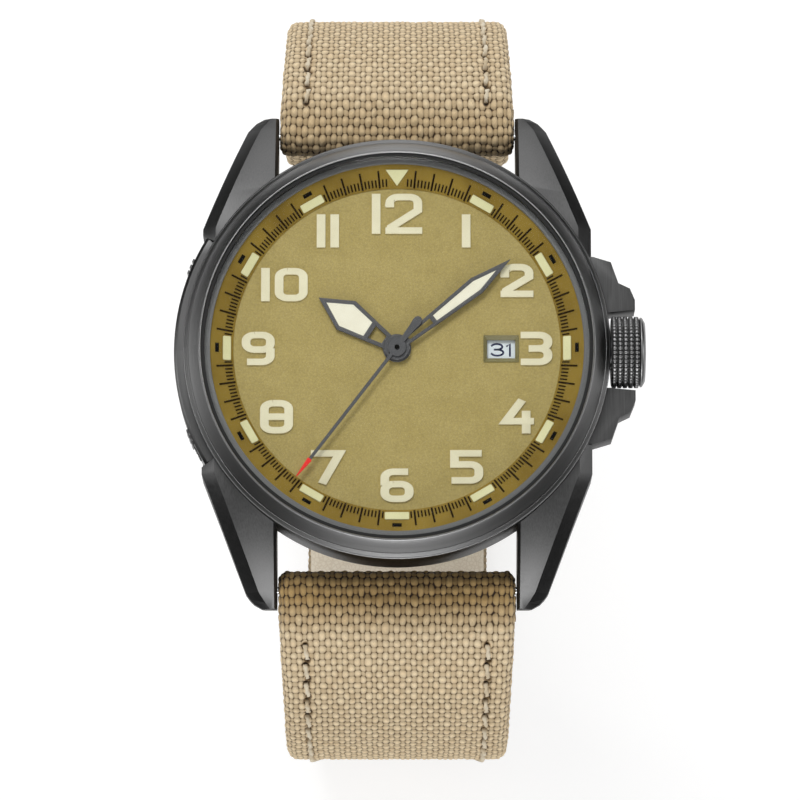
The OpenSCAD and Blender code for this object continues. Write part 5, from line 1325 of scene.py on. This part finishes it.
def hole_rims():
    """A sewn edge round each hole in the tail, through the whole strap."""
    verts, faces = [], []
    around, sewn = 48, 24
    ring = [(1.02, -1.35), (1.02, 1.2), (1.05, 1.36), (1.14, 1.44), (1.25, 1.42), (1.34, 1.3), (1.36, 1.1),
            (1.36, -1.2), (1.3, -1.4), (1.12, -1.44)]
    for s in hole_centres():
        y, z, angle = strap_line(s)
        middle = np.array([0, -y, z])
        out = np.array([0, math.sin(angle), math.cos(angle)])
        along = np.array([0, -math.cos(angle), math.sin(angle)])
        faces += grid_faces(around, len(ring), True, True, len(verts))
        for a in 2 * math.pi * np.arange(around) / around:
            puff = 0.025 * math.cos(sewn * a)
            side = np.array([1.0, 0, 0]) * math.cos(a) + along * math.sin(a)
            for r, d in ring:
                verts.append(middle + side * (r + puff * (r > 1.1)) + out * (d + puff * (d > 1.3)))
    obj = add_mesh("tail_hole_rims", verts, faces, THREAD, "strap_6", lifted=False)


def stitch_holes(places, lengths, counts):
    """Marks where the needle went through the cloth, over the rows of one piece."""
    points = np.array([p for ends in places for p in ends])
    points = points[(points[:, 0] > lengths[0] - 0.3) & (points[:, 0] < lengths[-1] + 0.3)]
    px, pv = points[:, 1], np.interp(points[:, 0], lengths, counts)
    rows_near, needle_r = 1.2, 0.26
    def mark(x, v):
        found = np.zeros(x.shape)
        for cx, cv in zip(px, pv):
            near = np.abs(v[:, 0] - cv) < rows_near
            if near.any():
                d = np.hypot(x[near] - cx, (v[near] - cv) * PITCH_ALONG)
                found[near] = np.maximum(found[near], np.clip(1.7 - d / needle_r, 0, 1))
        return found
    return mark


def strap_half(which, mirror, end, tip, begin):
    """One half of the strap: canvas in an upper and a lower piece, stitches and lining."""
    body = "strap_" + which
    skip = in_holes if tip else None
    places = stitch_places(end, tip, begin)
    s, v, last = yarn_lengths(0, SPLIT_S, TOP_SAMPLES)
    cut = s[-1]
    rows = stacked(nose_rows(TOP_SAMPLES, mirror), cover_rows(0, cut, TOP_SAMPLES, mirror))
    # The upper piece is painted darker near the spring bar as shade, half as much at 12 o'clock as at 6
    top = woven(body + "_canvas_top", rows, YARNS_WIDE, TOP_SAMPLES, body, ends=(True, False),
                pierced=stitch_holes(places, s, v), fold_shade_share=0.5 if mirror > 0 else 1.0)
    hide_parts(body + "_cover")
    rows = cover_rows(cut, end, LEG_SAMPLES, mirror, tip, v[-1])
    lengths, counts, last = yarn_lengths(cut, end, LEG_SAMPLES)
    marks = stitch_holes(places, np.append(lengths, end), np.append(counts, last) + v[-1])
    leg = woven(body + "_canvas_leg", rows, YARNS_WIDE, LEG_SAMPLES, body, ends=(False, True), skip=skip,
                pierced=marks)
    stitches(body + "_stitches", places, mirror, body)
    inner = lining(body + "_leather", LINING_START, end if tip else end - 0.3, tip, mirror, body, skip)
    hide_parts(body + "_lining")


def buckle_tabs():
    """The two ends of the canvas that wrap round the buckle's bar, beside the tongue's slot."""
    reach, r, slot = 1.9, 1.36, 1.4
    bend = r * math.pi
    q = np.arange(0, 2 * reach + bend, PITCH_ALONG / 4)
    turn = np.clip((q - reach) / bend, 0, 1) * math.pi
    back = np.where(q < reach, reach - q, np.maximum(0, q - reach - bend))
    y, z = strap_line(np.full(q.shape, SHORT_L))[:2]
    half = np.full(q.shape, (STRAP_END_WIDE / 2 - slot) / 2)
    for side in (-1, 1):
        rows = [y + back, z, -np.sin(turn), -np.cos(turn), half, half * 0 + r, q / PITCH_ALONG,
                half * 0 + side * (slot + half), 1]
        obj = woven("strap_12_bar_tab_%d" % (side > 0), rows, 19, 4, "strap_12")


def keeper(name, s, in_wide, in_thick, body, node):
    """A canvas loop round the strap at length s, woven on its outer face."""
    steps, samples, points_wide, yarns_wide, inside = 12, 4, 49, 9, 4
    wall, half, corner, edge = 1.1, 2.5, 0.9, 0.5
    # The outline runs in the middle of the wall
    outline = np.array(rounded_box(in_wide + 1.2, in_thick + 1.2, corner, steps))
    outline = np.append(outline, outline[:1], 0)
    corners = [start + 90 * i / (steps - 1) for start in (0, 90, 180, 270) for i in range(steps)]
    length = np.append(0, np.cumsum(np.hypot(*np.diff(outline, axis=0).T)))
    yarns = 2 * round(length[-1] / PITCH_ALONG / 2)
    q = np.arange(yarns * samples) / (yarns * samples) * length[-1]
    turn = np.interp(q, length, np.radians(corners + [360]))[:, None]
    middle_x, middle_out = (np.interp(q, length, column)[:, None] for column in outline.T)
    counts = (q / length[-1] * yarns)[:, None]
    wide, tall = np.full(turn.shape, half), np.full(turn.shape, wall)
    a, up, u, v, hole = woven_section(wide, tall, edge, points_wide, yarns_wide, counts, inside, uneven=0.0)
    x = middle_x + np.cos(turn) * (up - wall / 2)
    out = middle_out + np.sin(turn) * (up - wall / 2)
    y, z, angle = strap_line(s)
    verts = np.stack([x, y - np.sin(angle) * out + np.cos(angle) * a,
                      z + np.cos(angle) * out + np.sin(angle) * a], -1).reshape(-1, 3)
    obj = add_mesh(name, verts, grid_faces(*x.shape, True, True), CANVAS, body, lifted=False)
    cloth_map(obj.data, u, v, pierced=hole)
    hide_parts(node)


# Each half with its side of the watch, its cloth's end, its rounded tip and where its stitches begin
strap_half("12", 1, SHORT_L - 1.9, 0, 3.0)
strap_half("6", -1, TAIL_L, 9, 5.1)
buckle_tabs()
hole_rims()
# Each keeper with its length along the strap, its inner width and its inner height
keeper("fixed_keeper_canvas", 66.0, strap_wide(63.5) + 0.6, 3.96, "strap_12", "fixed_keeper")
keeper("free_keeper_canvas", 51.0, strap_wide(36.5) + 0.6, 3.4, "loop", "free_keeper")


# Finishes of the pieces that keep their CAD shape

softened("numerals", NUMERAL, 0.05, "head")
for node in ("barrel_bridge", "train_bridge", "balance_bridge", "main_plate"):
    softened(node, RHODIUM, 0.04, "head")
BY_SLOT = {
    "case_black": CASE_DARK, "crystal_glass": GLASS, "black_rubber": RUBBER, "chapter_gold": CHAPTER,
    "lume": LUME, "numeral_cream": NUMERAL, "hand_grey": HAND, "date_white": DATE_WHITE,
    "holder_plastic": HOLDER, "rhodium": RHODIUM, "brass": BRASS, "steel": STEEL, "ruby": RUBY,
    "dial_khaki": DIAL, "canvas_khaki": CANVAS, "lining_leather": LEATHER}
BY_NODE = {"bridge_screws": BLUED, "balance_spring": BLUED}
for part in frame["record"]["subparts"]:
    mesh = frame["nodes"][part["node"]].data
    mesh.materials.clear()
    mesh.materials.append(BY_NODE.get(part["node"]) or BY_SLOT[part["material_slot"]])
    mesh.polygons.foreach_set("use_smooth", [True] * len(mesh.polygons))
    mesh.set_sharp_from_angle(angle=math.radians(30))
